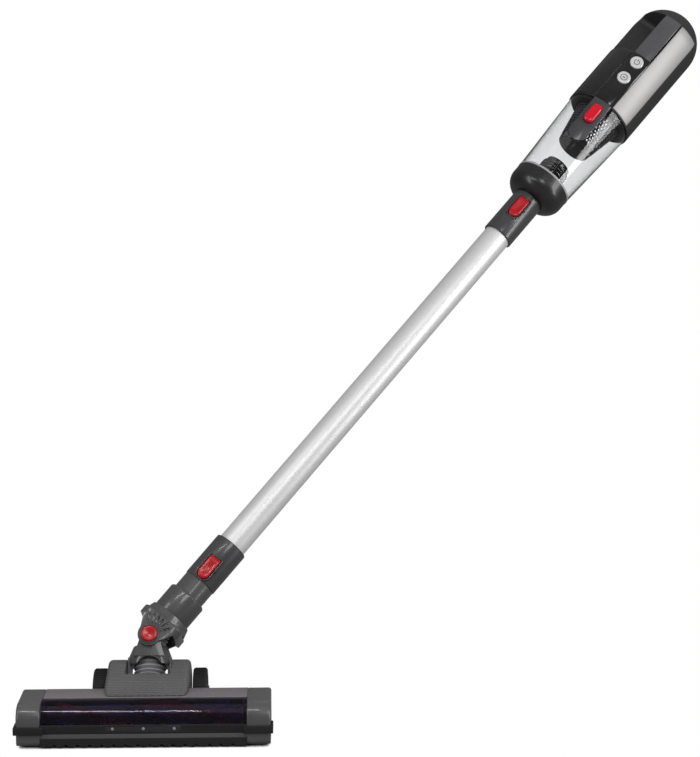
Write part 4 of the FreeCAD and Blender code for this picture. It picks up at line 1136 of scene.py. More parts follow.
def screw_grid(shop: Shop, name: str, spacing: Point2, radius: float, matrix: Matrix) -> bpy.types.Object:
    """Four domed screw heads on the corners of a rectangle in the XY plane.

    Args:
        shop: the finishes.
        name: the piece's name.
        spacing: the rectangle's two sides.
        radius: radius of a head.
        matrix: places the rectangle's middle.

    Returns:
        The screws.
    """
    sizes = {"Across": spacing[0], "Along": spacing[1], "Radius": radius}
    tree = Tree(f"{name}_tree", sizes, shop.paint["steel"])
    bench = tree.bench
    grid = bench.add("GeometryNodeMeshGrid", Size_X=tree.size("Across"), Size_Y=tree.size("Along"),
                     Vertices_X=2, Vertices_Y=2)
    head_deep, slot_long, slot_wide, slot_deep = 1.2 * MM, 3.0 * MM, 0.8 * MM, 1.6 * MM
    head = bench.add("GeometryNodeMeshCylinder", Vertices=24, Radius=tree.size("Radius"), Depth=head_deep)
    carve = bench.tree.nodes.new("GeometryNodeMeshBoolean")
    carve.operation = "DIFFERENCE"
    bench.feed(carve, 0, head.outputs[0])
    slots = [bench.add("GeometryNodeMeshCube", Size=size)
             for size in ((slot_long, slot_wide, slot_deep), (slot_wide, slot_long, slot_deep))]
    for slot in slots:
        raised = bench.add("GeometryNodeTransform", Geometry=slot.outputs[0],
                           Translation=(0.0, 0.0, 1.1 * MM))
        bench.tree.links.new(raised.outputs[0], carve.inputs[1])
    heads = tree.scatter(grid.outputs[0], carve.outputs[0], (0.0, 0.0, 0.0))
    return tree.finished(name, heads, matrix)


def cone_eyelets(shop: Shop, name: str, finish: str, low: Point2, high: Point2, rows: int, columns: int,
                 matrix: Matrix) -> bpy.types.Object:
    """Small raised eyelets in staggered rows over a cone about Z.

    Args:
        shop: the finishes.
        name: the piece's name.
        finish: the eyelets' finish.
        low: (radius, height) of the lowest row.
        high: (radius, height) of the highest row.
        rows: how many rows.
        columns: how many eyelets in a row.
        matrix: places the axis.

    Returns:
        The eyelets.
    """
    sizes = {"Low Radius": low[0], "Low": low[1], "High Radius": high[0], "High": high[1]}
    tree = Tree(f"{name}_tree", sizes, shop.paint[finish])
    bench = tree.bench
    line = bench.add("GeometryNodeMeshLine", Count=rows * columns)
    index = bench.add("GeometryNodeInputIndex").outputs[0]
    row = bench.maths("FLOOR", bench.maths("DIVIDE", index, float(columns)))
    share = bench.maths("DIVIDE", row, float(rows - 1))
    stagger = bench.maths("MULTIPLY", bench.maths("MODULO", row, 2.0), 0.5)
    angle = bench.maths("MULTIPLY", bench.maths("ADD", index, stagger), 2 * math.pi / columns)
    radius = bench.maths("ADD", tree.size("Low Radius"), bench.maths(
        "MULTIPLY", share, bench.maths("SUBTRACT", tree.size("High Radius"), tree.size("Low Radius"))))
    height = bench.maths("ADD", tree.size("Low"), bench.maths(
        "MULTIPLY", share, bench.maths("SUBTRACT", tree.size("High"), tree.size("Low"))))
    spot = tree.xyz(bench.maths("MULTIPLY", radius, bench.maths("COSINE", angle)),
                    bench.maths("MULTIPLY", radius, bench.maths("SINE", angle)), height)
    placed = bench.add("GeometryNodeSetPosition", Geometry=line.outputs[0], Position=spot)
    disc = bench.add("GeometryNodeMeshCylinder", Vertices=8, Radius=1.1 * MM, Depth=0.6 * MM)
    tipped = bench.add("GeometryNodeTransform", Geometry=disc.outputs[0], Rotation=(0.0, math.pi / 2, 0.0))
    eyelets = tree.scatter(placed.outputs[0], tipped.outputs[0], tree.xyz(z=angle))
    return tree.finished(name, eyelets, matrix)


def ribbed_hose(shop: Shop, name: str, path: Sequence[Vector], crest: float, root: float, rings: int
                ) -> bpy.types.Object:
    """A hose with round ribs along a path.

    Args:
        shop: the finishes.
        name: the piece's name.
        path: points of its middle line.
        crest: radius over the ribs.
        root: radius between them.
        rings: how many ribs.

    Returns:
        The hose.
    """
    sizes = {"Crest": crest, "Root": root, "Rings": float(rings)}
    tree = Tree(f"{name}_tree", sizes, shop.paint["hose_grey"])
    bench = tree.bench
    curve_data = bpy.data.curves.new(f"{name}_path", "CURVE")
    curve_data.dimensions = "3D"
    spline = curve_data.splines.new("POLY")
    spline.points.add(len(path) - 1)
    for point, where in zip(spline.points, path):
        point.co = (*where, 1.0)
    guide = linked(f"{name}_path", curve_data)
    source = bench.tree.nodes.new("GeometryNodeObjectInfo")
    source.inputs["Object"].default_value = guide
    fine = bench.add("GeometryNodeResampleCurve", Curve=source.outputs["Geometry"], Count=rings * 10)
    share = bench.add("GeometryNodeSplineParameter").outputs["Factor"]
    turns = bench.maths("MULTIPLY", share, tree.size("Rings"))
    wave = bench.maths("SINE", bench.maths("MULTIPLY", turns, 2 * math.pi))
    swell = bench.maths("POWER", bench.maths("MULTIPLY_ADD", wave, 0.5, 0.5), 0.6)
    width = bench.maths("ADD", tree.size("Root"), bench.maths(
        "MULTIPLY", swell, bench.maths("SUBTRACT", tree.size("Crest"), tree.size("Root"))))
    profile = bench.add("GeometryNodeCurvePrimitiveCircle", Resolution=48, Radius=1.0)
    skin = bench.add("GeometryNodeCurveToMesh", Curve=fine.outputs[0], Profile_Curve=profile.outputs[0],
                     Scale=width, Fill_Caps=True)
    piece = tree.finished(name, skin.outputs[0], Matrix.Identity(4))
    bpy.data.objects.remove(guide)
    return piece


# ------------------------------------------------------------------ floor head
@dataclass
class FloorHead:
    """Floor head: chassis, caps, window, bumper, saddle, wheels and brush roll."""

    shop: Shop
    lip: float = 4.5 * MM
    window_wall: float = 1.8 * MM
    window_gap: float = 0.2 * MM
    lamp_radius: float = 1.5 * MM
    lamp_spacing: float = 31.0 * MM
    tyre_inset: float = 0.6 * MM
    tyre_round: float = 2.2 * MM
    tread_count: int = 56
    tread_wide: float = 1.2 * MM
    tread_deep: float = 1.4 * MM
    axle_bore: float = 3.1 * MM
    dish_deep: float = 2.0 * MM
    screw_spacing: Point2 = (67.0 * MM, 26.0 * MM)
    screw_radius: float = 2.8 * MM
    tray_middle: float = 33.0 * MM
    pad_radius: float = 15.0 * MM

    def build(self) -> None:
        """Make and dress every piece of the head."""
        shop = self.shop
        self.chassis()
        shop.softened("head_top_plate", "plate_grey", 0.6 * MM)
        for side in ("left", "right"):
            shop.softened(f"end_cap_{side}", "cap_grey", 1.0 * MM, sides=6.0 * MM)
        shop.softened("front_bumper", "rubber_black", 0.7 * MM)
        shop.softened("led_strip", "lens_dark", 0.4 * MM)
        shop.softened("saddle_cover", "saddle_grey", 1.2 * MM, sides=5.0 * MM)
        shop.dress("board_green", "led_board")
        shop.dress("steel", "pitch_pins", "wheel_axles", "brush_motor")
        shop.dress("core_violet", "brush_core")
        shop.dress("rubber_black", "brush_hubs")
        self.window()
        self.lamps()
        self.wheels()
        self.bristles()
        self.sole_screws()
        self.ear_pads()
        LOG.info("floor head built")

    def brush_axis(self) -> Vector:
        """Middle of the brush roll."""
        return Vector(self.shop.joints["brush_spin"]["pos_m"])

    def window(self) -> None:
        """Smooth curved window over the brush."""
        low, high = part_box("brush_window")
        axis = self.brush_axis()
        outer = math.hypot(low.y - axis.y, low.z - axis.z)
        first = math.atan2(low.z - axis.z, low.y - axis.y)
        last = math.atan2(math.sqrt(outer ** 2 - (high.y - axis.y) ** 2), high.y - axis.y)
        steps = 28
        arc = [first + (last - first) * step / steps for step in range(steps + 1)]
        inner = outer - self.window_wall
        ring = [(outer, angle) for angle in arc] + [(inner, angle) for angle in reversed(arc)]
        vertices = [Vector((x, axis.y + radius * math.cos(angle), axis.z + radius * math.sin(angle)))
                    for x in (low.x + self.window_gap, high.x - self.window_gap) for radius, angle in ring]
        count = len(ring)
        piece = mesh_piece("brush_window_clear", vertices, band(count) + [lid(count), lid(count, 1)],
                           self.shop.paint["smoked_window"])
        self.shop.stand_in(piece, "brush_window")

    def lamps(self) -> None:
        """Three small lamp lenses on the dark strip."""
        low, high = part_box("led_strip")
        outline = circle_outline(self.lamp_radius, 20)
        for number in (-1, 0, 1):
            where = Matrix.Translation((number * self.lamp_spacing, 0.0, (low.z + high.z) / 2))
            lens = key_piece(f"lamp_lens_{number + 2}", outline, -low.y, -low.y + 0.3 * MM, -0.2 * MM,
                             self.shop.paint["lamp_white"], where, edge=0.2 * MM)
            self.shop.add(lens, "floor_head", "lens")

    def wheels(self) -> None:
        """Tyres with fine treads on dished hubs."""
        shop = self.shop
        for name in ("left", "right"):
            low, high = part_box(f"tyre_{name}")
            centre = (low + high) / 2
            radius = (high.z - low.z) / 2
            hub_low, hub_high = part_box(f"wheel_{name}")
            hub = (hub_high.z - hub_low.z) / 2
            half = (high.x - low.x) / 2
            across = Matrix.Translation(centre) @ Matrix.Rotation(math.pi / 2, 4, "Y")
            outline = ring_outline(hub, radius - self.tyre_inset, -half, half, self.tyre_round, 0.3 * MM)
            shop.turned(f"tyre_{name}", f"tyre_{name}_round", outline, "rubber_black", across)
            tread = (self.tread_wide, self.tread_deep, 2 * half - 3.5 * MM)
            ribs = ring_of_bars(shop, f"tread_{name}", "rubber_black", self.tread_count,
                                radius - 0.8 * MM, tread, across)
            shop.add(ribs, f"wheel_{name}", "black_rubber")
            floor = half - self.dish_deep
            face = [(self.axle_bore, half, 0.3 * MM), (hub * 0.35, half, 0.8 * MM),
                    (hub * 0.45, floor, 1.5 * MM), (hub * 0.85, floor, 1.5 * MM),
                    (hub * 0.93, half, 0.8 * MM), (hub, half, 0.0)]
            dish = rounded([(reach, -out, soft) for reach, out, soft in face] + face[::-1])
            shop.turned(f"wheel_{name}", f"wheel_{name}_dished", dish, "hand_black", across)

    def chassis(self) -> None:
        """Black base with a grey lip along its front, under the bumper."""
        piece = self.shop.softened("head_base", "base_black", 0.6 * MM)
        front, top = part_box("head_base")[0].y + 1.5 * MM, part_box("front_bumper")[0].z
        foot = top - self.lip
        work = bmesh.new()
        work.from_mesh(piece.data)
        for height in (foot, top):
            bmesh.ops.bisect_plane(work, geom=work.verts[:] + work.edges[:] + work.faces[:], dist=1e-6,
                                   plane_co=(0.0, 0.0, height), plane_no=(0.0, 0.0, 1.0))
        for face in work.faces:
            middle = face.calc_center_median()
            face.material_index = int(foot < middle.z < top and middle.y < front)
        work.to_mesh(piece.data)
        work.free()
        piece.data.materials.append(self.shop.paint["cap_grey"])

    def bristles(self) -> None:
        """Red and blue rows of tufts on the roll."""
        low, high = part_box("bristles_red")
        core_low, core_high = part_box("brush_core")
        core = (core_high.z - core_low.z) / 2
        tip = (high.z - low.z) / 2
        where = Matrix.Translation(self.brush_axis())
        half = (high.x - low.x) / 2 - 1.5 * MM
        for name, phase in (("red", 0.0), ("blue", math.pi / 2)):
            tufts = helix_bristles(self.shop, f"bristles_{name}_tufts", f"bristle_{name}", half, core,
                                   tip - 0.3 * MM, phase, where)
            self.shop.stand_in(tufts, f"bristles_{name}")

    def sole_screws(self) -> None:
        """Cross-head screws in the bottom of the tray."""
        low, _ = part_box("head_base")
        middle = Vector((0.0, self.tray_middle, low.z + 2.3 * MM))
        flip = Matrix.Translation(middle) @ Matrix.Rotation(math.pi, 4, "X")
        screws = screw_grid(self.shop, "tray_screws", self.screw_spacing, self.screw_radius, flip)
        self.shop.add(screws, "floor_head", "steel")

    def ear_pads(self) -> None:
        """Cross-hatched grip pads on the outside of the ears."""
        _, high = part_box("saddle_cover")
        pitch = Vector(self.shop.joints["stick_pitch"]["pos_m"])
        for side in (-1, 1):
            middle = Matrix.Translation((side * high.x, pitch.y, pitch.z))
            turned = middle @ Matrix.Rotation(side * math.pi / 2, 4, "Z")
            name = f"ear_pad_{'left' if side < 0 else 'right'}"
            pad = key_piece(name, circle_outline(self.pad_radius), -1.0 * MM, 0.5 * MM, 0.0,
                            self.shop.paint["ear_grey"], turned, edge=0.8 * MM)
            self.shop.add(pad, "floor_head", "head_grey")


# ------------------------------------------------------------------ swivel
@dataclass
class Swivel:
    """Yoke, hose, elbow shroud with its red caps, and the stepped neck."""

    shop: Shop
    groove_count: int = 6
    groove_long: float = 12.0 * MM
    groove_wide: float = 1.9 * MM
    groove_reach: float = 17.4 * MM
    ring_gap: float = 0.2 * MM
    ring_wide: float = 1.5 * MM
    ring_sunk: float = 0.5 * MM
    ring_high: float = 1.2 * MM
    hose_foot: float = 17.0 * MM
    hose_meeting: float = 15.0 * MM
    hose_end: float = 15.0 * MM
    lead_share: float = 0.42
    upper_lead: float = 8.5 * MM
    hose_rings: int = 9
    hose_radii: Point2 = (17.0 * MM, 14.3 * MM)
    upper_rings: int = 5
    upper_radii: Point2 = (14.6 * MM, 12.4 * MM)

    def build(self) -> None:
        """Make and dress every piece of the swivel."""
        shop = self.shop
        shop.softened("yoke", "elbow_grey", 1.2 * MM)
        shop.softened("elbow_shroud", "elbow_grey", 1.4 * MM)
        shop.dress("steel", "pivot_bolts")
        self.hoses()
        self.caps()
        shop.softened("neck_tube", "elbow_grey", 0.8 * MM)
        LOG.info("swivel built")

    def hoses(self) -> None:
        """Ribbed hoses through the yoke, laid along curves from the head to the stick in place of the CAD
        hoses.
        """
        shop = self.shop
        pitch = Vector(shop.joints["stick_pitch"]["pos_m"])
        roll = Vector(shop.joints["stick_roll"]["pos_m"])
        up = (roll - pitch).normalized()
        reach = (roll - pitch).length
        low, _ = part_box("hose_lower")
        start = Vector((0.0, low.y, low.z + self.hose_foot))
        middle = pitch + up * (reach - self.hose_meeting)
        lead = (middle - start).length * self.lead_share
        bend = self.curve(start, start + Vector((0.0, lead, 0.0)), middle - up * lead, middle)
        lower = ribbed_hose(shop, "hose_lower_ribbed", bend, *self.hose_radii, self.hose_rings)
        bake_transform(lower)
        stick = shop.stick
        finish = stick.place(0.0, 0.0, self.hose_end)
        arc = self.curve(middle, middle + up * self.upper_lead, finish - stick.up * self.upper_lead, finish)
        upper = ribbed_hose(shop, "hose_upper_ribbed", arc, *self.upper_radii, self.upper_rings)
        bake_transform(upper)
        for hose, node in ((lower, "hose_lower"), (upper, "hose_upper")):
            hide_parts(node)

    @staticmethod
    def curve(a: Vector, b: Vector, c: Vector, d: Vector, steps: int = 24) -> List[Vector]:
        """Points on the smooth curve led by four points.

        Args:
            a: where it starts.
            b: what it first heads for.
            c: what it last comes from.
            d: where it ends.
            steps: runs between its points.

        Returns:
            The points.
        """
        points = []
        for step in range(steps + 1):
            share = step / steps
            left = a.lerp(b, share).lerp(b.lerp(c, share), share)
            right = b.lerp(c, share).lerp(c.lerp(d, share), share)
            points.append(left.lerp(right, share))
        return points

    def caps(self) -> None:
        """Red pivot caps in grey rings, with teardrop grooves fanning above them."""
        shop = self.shop
        low, high = shop.box("pivot_caps")
        shroud_low, _ = shop.box("elbow_shroud")
        face = -shroud_low.y
        outline = circle_outline((high.x - low.x) / 2)
        for side, label in ((0.0, "front"), (math.pi, "back")):
            turned = shop.stick.matrix @ Matrix.Rotation(side, 4, "Z")
            cap = key_piece(f"pivot_cap_{label}", outline, face, -low.y, 0.9 * MM,
                            shop.paint["red_gloss"], turned)
            if side == 0.0:
                shop.stand_in(cap, "pivot_caps")
            else:
                shop.add(cap, "elbow", "red_gloss")
            near = high.x + self.ring_gap
            far, foot, top = near + self.ring_wide, face - self.ring_sunk, face + self.ring_high
            ring = rounded([(near, foot, 0), (far, foot, 0), (far, top, 0.5 * MM), (near, top, 0.5 * MM)])
            about = turned @ Matrix.Rotation(math.pi / 2, 4, "X")
            collar = lathe(f"pivot_ring_{label}", ring, shop.paint["collar_grey"], about, 64)
            shop.add(collar, "elbow", "head_grey")
            self.grooves(label, turned, face)

    def grooves(self, label: str, turned: Matrix, face: float) -> None:
        """Teardrop inlays that fan out from a pivot cap towards the stick.

        Args:
            label: the side that they are on.
            turned: places that side's cap.
            face: how far out the shroud's side is.
        """
        for number in range(self.groove_count):
            fan = math.radians(-40 + 76 * number / (self.groove_count - 1))
            drop = []
            for x, z in circle_outline(1.0, 24):
                taper = 0.35 + 0.65 * (0.5 + 0.5 * x)
                drop.append((self.groove_wide * z * taper, self.groove_long / 2 * x))
            lift = turned @ Matrix.Rotation(fan, 4, "Y") @ Matrix.Translation((0.0, 0.0, self.groove_reach))
            piece = key_piece(f"fan_groove_{label}_{number + 1}", drop, face - 0.5 * MM, face + 0.35 * MM,
                              0.25 * MM, self.shop.paint["gloss_black"], lift, edge=0.3 * MM)
            self.shop.add(piece, "elbow", "head_grey")


# ------------------------------------------------------------------ wand
@dataclass
class Wand:
    """Satin tube between two collars, each with a red rocking latch."""

    shop: Shop
    tube_wall: float = 1.2 * MM
    latch_half: float = 6.65 * MM
    latch_hollow: float = 1.1 * MM
    rim: float = 1.1 * MM
    rim_gap: float = 0.13
    rim_foot: float = 2.6 * MM
    rim_high: float = 0.5 * MM

    def build(self) -> None:
        """Make and dress every piece of the wand."""
        shop = self.shop
        low, high = shop.box("wand_tube")
        radius = (high.x - low.x) / 2
        outline = ring_outline(radius - self.tube_wall, radius, low.z, high.z, 0.4 * MM)
        shop.turned("wand_tube", "wand_tube_satin", outline, "wand_satin", shop.stick.matrix, 128)
        for end in ("lower", "upper"):
            shop.softened(f"{end}_collar", "collar_grey", 0.6 * MM)
        for end in ("lower", "upper"):
            self.latch(f"{end}_latch", f"{end}_collar")
        LOG.info("wand built")

    def latch(self, node: str, collar: str) -> None:
        """Red D-shaped key with a finger hollow, and the raised rim round it.

        Args:
            node: the latch's CAD node.
            collar: the collar's CAD node.
        """
        shop = self.shop
        low, high = shop.box(node)
        collar_low, _ = shop.box(collar)
        outline = d_outline(self.latch_half, low.z, high.z)
        middle = (low.z + high.z) / 2
        shifted = [(x, z - middle) for x, z in outline]
        where = shop.stick.matrix @ Matrix.Translation((0.0, 0.0, middle))
        key = key_piece(f"{node}_key", shifted, -collar_low.y - 2.2 * MM, -low.y, self.latch_hollow,
                        shop.paint["red_gloss"], where, edge=1.3 * MM)
        shop.stand_in(key, node)
        rim = self.rim_piece(f"{node}_rim", shifted, -collar_low.y, where)
        shop.add(rim, "wand", "head_grey" if node == "lower_latch" else "dark_plastic")

    def rim_piece(self, name: str, outline: Sequence[Point2], face: float, where: Matrix) -> bpy.types.Object:
        """A raised lip that follows a key's outline, a little outside it.

        Args:
            name: the piece's name.
            outline: the key's outline.
            face: how far out the collar's face is.
            where: places the key's middle.

        Returns:
            The lip.
        """
        inner = 1.0 + self.rim_gap
        outer = inner + self.rim / self.latch_half
        foot, top = face - self.rim_foot, face + self.rim_high
        vertices = [Vector((x * scale, -out, z * (1 + (scale - 1) * 0.5)))
                    for scale, out in ((inner, foot), (inner, top), (outer, top), (outer, foot))
                    for x, z in outline]
        faces = [side for ring in range(4) for side in band(len(outline), ring, (ring + 1) % 4)]
        piece = mesh_piece(name, vertices, faces, self.shop.paint["collar_grey"], where, smooth=40.0)
        bevel = piece.modifiers.new("lip", "BEVEL")
        bevel.width = 0.35 * MM
        bevel.segments = 2
        bevel.limit_method = "ANGLE"
        baked(piece)
        tidy_mesh(piece.data, 40.0)
        return piece


# ------------------------------------------------------------------ dust bin
@dataclass
class DustBin:
    """Domed cap, light ring, clear wall, inlet pipe, tongue and release button."""

    shop: Shop
    cap_bore: float = 15.6 * MM
    cap_wall: float = 2.4 * MM
    cap_round: float = 17.0 * MM
    cap_inner_round: float = 16.0 * MM
    ring_deep: float = 3.0 * MM
    clear_wall: float = 2.0 * MM
    key_round: float = 6.1 * MM
    cup_foot: float = 20.0 * MM
    cup_wall: float = 1.6 * MM
    screen_rise: float = 10.0 * MM
    screen_rows: int = 11
    screen_columns: int = 40
    seal_bore: float = 31.0 * MM
    pleats: int = 34
    pleat_foot: float = 14.8 * MM
    pleat_deep: float = 2.4 * MM

    def build(self) -> None:
        """Make and dress every piece of the bin."""
        shop = self.shop
        matrix = shop.stick.matrix
        self.cap(matrix)
        low, high = shop.box("bin_ring")
        ring = ring_outline(high.x - self.ring_deep, high.x, low.z, high.z, 0.8 * MM)
        shop.turned("bin_ring", "bin_ring_round", ring, "ring_light", matrix)
        self.wall(matrix)
        shop.softened("inlet_pipe", "hand_black", 0.5 * MM)
        shop.softened("inlet_flap", "rubber_black", 0.5 * MM)
        shop.softened("latch_housing", "collar_grey", 1.2 * MM)
        shop.dress("steel", "release_spring")
        self.release()
        self.filters(matrix)
        LOG.info("dust bin built")

    def cap(self, matrix: Matrix) -> None:
        """Smooth domed cap under the bin.

        Args:
            matrix: places the stick's axis.
        """
        shop = self.shop
        low, high = shop.box("bin_cap")
        radius, wall = high.x, self.cap_wall
        inside = self.shoulder(radius - wall, low.z + wall, self.cap_inner_round)[::-1]
        outline = [(self.cap_bore, low.z)] + self.shoulder(radius, low.z, self.cap_round) + [(radius, high.z)]
        outline += [(radius - wall, high.z)] + inside + [(self.cap_bore, low.z + wall)]
        shop.turned("bin_cap", "bin_cap_dome", outline, "hand_black", matrix, 128)

    @staticmethod
    def shoulder(radius: float, low: float, reach: float, steps: int = 16) -> List[Point2]:
        """Points of the quarter round between a dome's foot and its side.

        Args:
            radius: radius of the side.
            low: height of the foot.
            reach: radius of the round.
            steps: runs between its points.

        Returns:
            The points, as (radius, height).
        """
        angles = [math.pi / 2 * step / steps for step in range(steps + 1)]
        return [(radius - reach + reach * math.sin(angle), low + reach * (1 - math.cos(angle)))
                for angle in angles]

    def wall(self, matrix: Matrix) -> None:
        """Clear flared wall.

        Args:
            matrix: places the stick's axis.
        """
        shop = self.shop
        low, high = shop.box("bin_wall")
        _, ring_high = shop.box("bin_ring")
        foot = ring_high.x - 0.5 * MM
        wall = self.clear_wall
        outline = rounded([(foot - wall, low.z, 0), (foot, low.z, 0), (high.x, high.z, 0.5 * MM),
                           (high.x - wall, high.z, 0.5 * MM)])
        shop.turned("bin_wall", "bin_wall_clear", outline, "clear_bin", matrix, 128)

    def release(self) -> None:
        """Bright red pill-shaped button in the tongue."""
        shop = self.shop
        low, high = shop.box("release_button")
        middle = (low.z + high.z) / 2
        outline = pill_outline(high.x, low.z - middle, high.z - middle, self.key_round)
        where = shop.stick.matrix @ Matrix.Translation((0.0, 0.0, middle))
        key = key_piece("release_key", outline, -high.y, -low.y, 0.8 * MM, shop.paint["red_bright"],
                        where, 1.6 * MM)
        shop.stand_in(key, "release_button")

    def filters(self, matrix: Matrix) -> None:
        """Perforated cup, pleated cartridge and the seal round the bulkhead.

        Args:
            matrix: places the stick's axis.
        """
        shop = self.shop
        low, high = shop.box("filter_cup")
        foot, brim, wall = self.cup_foot, high.x, self.cup_wall
        outline = rounded([(0, low.z, 0), (foot, low.z, 1.5 * MM), (brim, high.z, 0.4 * MM),
                           (brim - wall, high.z, 0), (foot - wall, low.z + wall, 0), (0, low.z + wall, 0)])
        shop.turned("filter_cup", "filter_cup_cone", outline, "hand_black", matrix)
        rise = self.screen_rise
        slope = (brim - foot) / (high.z - low.z)
        eyelets = cone_eyelets(shop, "filter_screen", "screen_steel", (foot + slope * rise, low.z + rise),
                               (brim - slope * rise / 2, high.z - rise / 2), self.screen_rows,
                               self.screen_columns, matrix)
        shop.add(eyelets, "hand_unit", "steel")
        self.cartridge(matrix)
        seal_low, seal_high = shop.box("bin_seal")
        seal = rounded([(self.seal_bore, seal_low.z, 0), (seal_high.x, seal_low.z, 1.2 * MM),
                        (seal_high.x, seal_high.z, 0.2 * MM), (self.seal_bore, seal_high.z, 0)])
        shop.turned("bin_seal", "bin_seal_round", seal, "rubber_black", matrix)

    def cartridge(self, matrix: Matrix) -> None:
        """Pleated filter inside the cup.

        Args:
            matrix: places the stick's axis.
        """
        shop = self.shop
        low, high = shop.box("filter_cartridge")
        vertices = []
        steps = self.pleats * 2
        for height, radius in ((low.z, self.pleat_foot), (high.z, high.x)):
            for step in range(steps):
                angle = 2 * math.pi * step / steps
                reach = radius - (self.pleat_deep if step % 2 else 0.0)
                vertices.append(Vector((reach * math.cos(angle), reach * math.sin(angle), height)))
        piece = mesh_piece("filter_pleats", vertices, band(steps) + [lid(steps), lid(steps, 1)],
                           shop.paint["filter_paper"], matrix, smooth=10.0)
        shop.stand_in(piece, "filter_cartridge")


# ------------------------------------------------------------------ hand unit
@dataclass
class HandUnit:
    """Casing, panels, strap handle, buttons and what they hold."""

    shop: Shop
    panel_edge: float = 0.35 * MM
    mark_high: float = 0.5 * MM
    mark_sunk: float = 0.45 * MM
    power_radius: float = 3.2 * MM
    power_wide: float = 0.5 * MM
    power_gap: float = 35.0
    power_bar: Tuple[float, ...] = (0.35 * MM, 1.2 * MM, 4.2 * MM, 0.3 * MM)
    mode_radii: Point2 = (3.6 * MM, 4.3 * MM)
    mode_dash: Tuple[float, ...] = (1.6 * MM, -0.4 * MM, 0.4 * MM, 0.35 * MM)

    def build(self) -> None:
        """Make and dress every piece of the hand unit."""
        shop = self.shop
        shop.softened("body_shell", "side_black", 1.0 * MM)
        shop.softened("side_panel_right", "panel_silver", self.panel_edge)
        shop.softened("side_panel_left", "gloss_black", self.panel_edge)
        shop.softened("control_panel", "gloss_black", self.panel_edge)
        shop.softened("handle_strap", "strap_grey", 3.0 * MM)
        shop.softened("exhaust_grille", "hand_black", 0.3 * MM)
        shop.dress("steel", "shell_screws", "fan_motor", "impeller")
        shop.dress("rubber_black", "motor_bulkhead", "battery_holder")
        shop.dress("board_green", "control_board")
        shop.dress("cell_blue", "battery_cells")
        shop.dress("brass", "charge_jack")
        self.button("mode_button", False)
        self.button("power_button", True)
        LOG.info("hand unit built")

    def button(self, node: str, power: bool) -> None:
        """Round silver key with a ring and a plain symbol on it.

        Args:
            node: the button's CAD node.
            power: whether it carries the power symbol.
        """
        shop = self.shop
        low, high = shop.box(node)
        middle = (low.z + high.z) / 2
        radius = (high.x - low.x) / 2
        where = shop.stick.matrix @ Matrix.Translation((0.0, 0.0, middle))
        key = key_piece(f"{node}_key", circle_outline(radius), -high.y, -low.y, 0.5 * MM,
                        shop.paint["button_silver"], where, 0.9 * MM)
        shop.stand_in(key, node)
        face = -low.y - self.mark_sunk
        gloss = shop.paint["gloss_black"]
        if power:
            ring = self.open_ring("power_mark", face, gloss, where)
            name, outline = "power_mark_bar", pill_outline(*self.power_bar)
        else:
            inner, outer = self.mode_radii
            top = face + self.mark_high
            closed = rounded([(inner, face, 0), (outer, face, 0),
                              (outer, top, 0.15 * MM), (inner, top, 0.15 * MM)], 2)
            ring = lathe("mode_mark_ring", closed, gloss, where @ Matrix.Rotation(math.pi / 2, 4, "X"), 48)
            name, outline = "mode_mark_dash", pill_outline(*self.mode_dash)
        shop.add(ring, node, "black_gloss")
        bar = key_piece(name, outline, face, face + self.mark_high, 0.0, gloss, where, 0.1 * MM)
        shop.add(bar, node, "black_gloss")

    def open_ring(self, name: str, face: float, material: bpy.types.Material,
                  where: Matrix) -> bpy.types.Object:
        """The power symbol's flat ring, open at its top.

        Args:
            name: the piece's name.
            face: how far out its back is.
            material: its finish.
            where: places its middle.

        Returns:
            The ring.
        """
        steps = 32
        first, last = math.radians(self.power_gap), math.radians(360.0 - self.power_gap)
        angles = [math.pi / 2 + first + (last - first) * step / steps for step in range(steps + 1)]
        outer, inner = self.power_radius + self.power_wide / 2, self.power_radius - self.power_wide / 2
        outline = [(outer * math.cos(angle), outer * math.sin(angle)) for angle in angles]
        outline += [(inner * math.cos(angle), inner * math.sin(angle)) for angle in reversed(angles)]
        vertices = [Vector((x, -out, z)) for out in (face, face + self.mark_high) for x, z in outline]
        count = len(outline)
        faces = band(count)
        for index in range(steps):
            twin = count - 1 - index
            for start in (0, count):
                faces.append((start + index, start + index + 1, start + twin - 1, start + twin))
        return mesh_piece(name, vertices, faces, material, where, smooth=20.0)


# ------------------------------------------------------------------ studio
@dataclass(frozen=True)
class Softbox:
    """One soft area light: its size in metres and its power in watts."""

    name: str
    place: Point3
    target: Point3
    size: Point2
    power: float

    def hang(self) -> None:
        """Put the light in its place, aimed at its target."""
        data = bpy.data.lights.new(self.name, "AREA")
        data.energy = self.power
        data.shape = "RECTANGLE"
        data.size, data.size_y = self.size
        lamp = linked(self.name, data)
        lamp.location = self.place
        aim = Vector(self.target) - Vector(self.place)
        lamp.rotation_euler = aim.to_track_quat("-Z", "Y").to_euler()


SOFTBOXES = (
    Softbox("strip_right", (1.9, -0.6, 0.75), (0.45, 0.3, 0.5), (0.45, 1.8), 17.0),
    Softbox("strip_left", (-1.5, -0.9, 1.1), (0.2, 0.1, 0.4), (0.5, 1.6), 12.0),
    Softbox("head_line", (-0.25, -0.62, 1.2), (-0.05, -0.05, 0.04), (0.5, 0.05), 1.6),
    Softbox("front_soft", (0.9, -2.6, 2.3), (0.2, 0.1, 0.3), (1.2, 0.8), 19.0),
)


